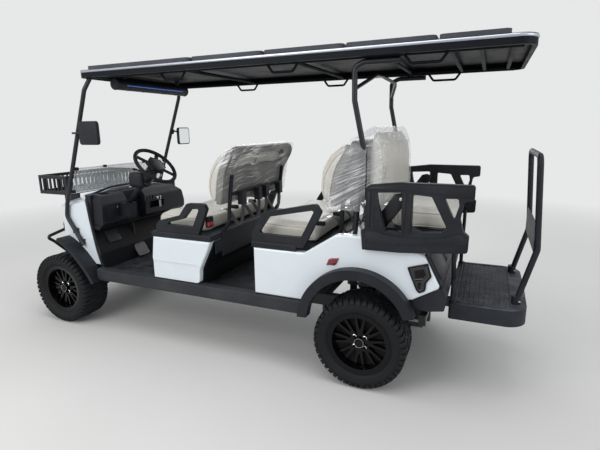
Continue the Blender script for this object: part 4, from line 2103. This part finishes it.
@dataclass
class Shell:
    """The CAD nodes that stay as they are, each with the finish of its real surface."""

    finishes: dict = field(default_factory=lambda: {
        "front_cowl": BODY_WHITE, "front_seat_pod": BODY_WHITE, "rear_body": BODY_WHITE,
        "roof": ROOF_BLACK, "roof_rails": RAIL_BLACK, "front_struts": STRUT_COAT,
        "rear_struts": FRAME_COAT, "rear_arm_frames": TRIM_BLACK, "seat_frames": TRIM_BLACK,
        "fender_flares": TRIM_BLACK, "rockers": SKIRT_GREY, "floor_pan": FLOOR_MAT,
        "dash": DASH_BLACK, "footplate": STEP_PLATE, "front_bumper": FRAME_COAT,
        "front_basket": FRAME_COAT, "grab_bar": TRIM_BLACK, "frame": FRAME_COAT,
        "battery": BATTERY_CASE, "front_suspension": CAST_BLACK, "rear_axle": CAST_BLACK,
        "rear_springs": SPRING_STEEL, "knuckle_left": CAST_BLACK, "knuckle_right": CAST_BLACK,
        "steering_rack": ZINC, "steering_column": DASH_BLACK, "steering_wheel": GRIP,
        "pedals": PEDAL_GREY, "head_lamps": CLEAR_LENS, "rear_lamps": SMOKED,
        "rear_bumper": TRIM_BLACK, "rear_seat_base": TRIM_BLACK, "seat_belts": TRIM_BLACK,
        "sound_bar": TRIM_BLACK, "mirrors": TRIM_BLACK, "windshield": WINDOW,
        "seat_cushions": CREAM, "seat_backs": CREAM, "rear_seat_cushion": CREAM,
        "rear_seat_back": CREAM,
        "rim_front_left": RIM_GLOSS, "rim_front_right": RIM_GLOSS, "rim_rear_left": RIM_GLOSS,
        "rim_rear_right": RIM_GLOSS, "tyre_front_left": TYRE, "tyre_front_right": TYRE,
        "tyre_rear_left": TYRE, "tyre_rear_right": TYRE,
    })

    def build(self) -> None:
        """Assigns every node's finish to its material slots."""
        for name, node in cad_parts.items():
            material = self.finishes[name].material()
            if not node.material_slots:
                node.data.materials.append(material)
            for place in node.material_slots:
                place.material = material
            LOG.info("%s: finished", name)


class Side(Enum):
    """Where a studio lamp hangs."""

    KEY = "key"
    FILL = "fill"
    BACK = "back"
    TOP = "top"


@dataclass(frozen=True)
class SoftLamp:
    """One large soft lamp."""

    side: Side
    place: Point
    size: float
    power: float
    colour: Colour = (1.0, 1.0, 1.0)


@dataclass
class Studio:
    """Camera, floor and plain soft light."""

    width: int = 600
    focal_px: float = 432.396
    yaw: float = 23.4604
    pitch: float = 12.6795
    roll: float = -0.6924
    eye: Point = (3213.14, -2974.14, 1589.74)
    backdrop: Colour = (0.80, 0.805, 0.81)
    ambient: float = 0.66
    floor_reach: float = 14.0
    floor_fade: tuple = (2.6, 8.0)
    aim: Point = (0.0, 0.0, 0.8)
    lamps: tuple = (
        SoftLamp(Side.TOP, (0.2, -0.4, 4.6), 4.6, 125.0),
        SoftLamp(Side.KEY, (-1.6, -4.4, 3.2), 3.0, 95.0, (1.0, 0.99, 0.97)),
        SoftLamp(Side.FILL, (5.0, -1.8, 2.4), 3.0, 50.0, (0.96, 0.98, 1.0)),
        SoftLamp(Side.BACK, (-1.0, 4.6, 3.0), 3.4, 80.0, (0.97, 0.98, 1.0)),
    )

    def camera(self) -> None:
        """Sets the camera at the photograph's place and angle."""
        yaw, pitch, roll = (math.radians(a) for a in (self.yaw, self.pitch, self.roll))
        ahead = Vector((-math.sin(yaw) * math.cos(pitch), math.cos(yaw) * math.cos(pitch),
                        -math.sin(pitch)))
        right = Vector((math.cos(yaw), math.sin(yaw), 0.0))
        above = right.cross(ahead)
        side = right * math.cos(roll) + above * math.sin(roll)
        top = above * math.cos(roll) - right * math.sin(roll)
        data = bpy.data.cameras.new("photo_camera")
        data.sensor_fit = "HORIZONTAL"
        data.sensor_width = 36.0
        data.lens = 36.0 * self.focal_px / self.width
        data.clip_start, data.clip_end = 0.05, 60.0
        camera = placed("photo_camera", data)
        turn = Matrix((side, top, -ahead)).transposed()
        camera.matrix_world = Matrix.Translation(station(*self.eye)) @ turn.to_4x4()
        bpy.context.scene.camera = camera

    def light(self) -> None:
        """Hangs the soft lamps, each aimed at the cart's middle."""
        for lamp in self.lamps:
            data = bpy.data.lights.new("lamp_" + lamp.side.value, "AREA")
            data.shape = "DISK"
            data.size = lamp.size
            data.energy = lamp.power
            data.color = lamp.colour
            piece = placed(data.name, data)
            piece.location = Vector(lamp.place)
            beam = Vector(self.aim) - piece.location
            piece.rotation_euler = beam.to_track_quat("-Z", "Y").to_euler()

    def world(self) -> None:
        """Gives soft ambient light and a pale surround that gloss and glass show."""
        bench = Bench(bpy.data.worlds.new("studio_world"))
        path = bench.add("ShaderNodeLightPath")
        shiny = path["Is Glossy Ray"].most(path["Is Transmission Ray"])
        seen = (path["Is Camera Ray"] + shiny).cap()
        power = bench.add("ShaderNodeMix", None, {0: seen, 2: self.ambient, 3: 1.0})[0]
        sky = bench.add("ShaderNodeBackground", None,
                        {"Color": self.backdrop, "Strength": power})[0]
        bench.finish(sky, "ShaderNodeOutputWorld")
        bpy.context.scene.world = bench.owner

    def floor(self) -> None:
        """Lays a plain pale floor with a faint concrete drift."""
        bench = Bench(bpy.data.materials.new("studio_floor"))
        drift = bench.cloud(0.7, 4.0)
        colour = bench.tint(drift, (0.60, 0.60, 0.595), (0.66, 0.66, 0.655))
        ground = bench.surface(Base_Color=colour, Roughness=0.85, Specular_IOR_Level=0.2)
        x, y, _ = bench.split()
        away = (x * x + y * y) ** 0.5
        path = bench.add("ShaderNodeLightPath")
        seen = (path["Is Camera Ray"] + path["Is Glossy Ray"] + path["Is Transmission Ray"]).cap()
        pale = bench.add("ShaderNodeEmission", None, {"Color": self.backdrop, "Strength": 1.0})[0]
        share = bench.ramp(away, *self.floor_fade) * seen
        bench.finish(bench.add("ShaderNodeMixShader", None, {0: share, 1: ground, 2: pale})[0])
        mesh = bpy.data.meshes.new("studio_floor")
        corners = [(x * self.floor_reach, y * self.floor_reach, 0.0)
                   for x, y in ((-1, -1), (1, -1), (1, 1), (-1, 1))]
        mesh.from_pydata(corners, [], [(0, 1, 2, 3)])
        mesh.materials.append(bench.owner)
        placed("studio_floor", mesh)

    def build(self) -> None:
        """Sets the whole studio."""
        scene = bpy.context.scene
        scene.view_settings.view_transform = "Standard"
        self.camera()
        self.light()
        self.world()
        self.floor()


def main() -> None:
    """Builds the sub-assemblies in order."""
    logging.basicConfig(level=logging.INFO, format="%(name)s %(message)s")
    for part in (Studio(), Shell(), Wheels(), Upholstery(), SeatFilm(), SideTrim(), Dashboard(),
                 DriverControls(), Glazing(), BeltGear(), TailStep(), ArmRelief(), RoofGear(),
                 Fasteners()):
        LOG.info("building %s", type(part).__name__)
        part.build()


if __name__ == "__main__":
    main()
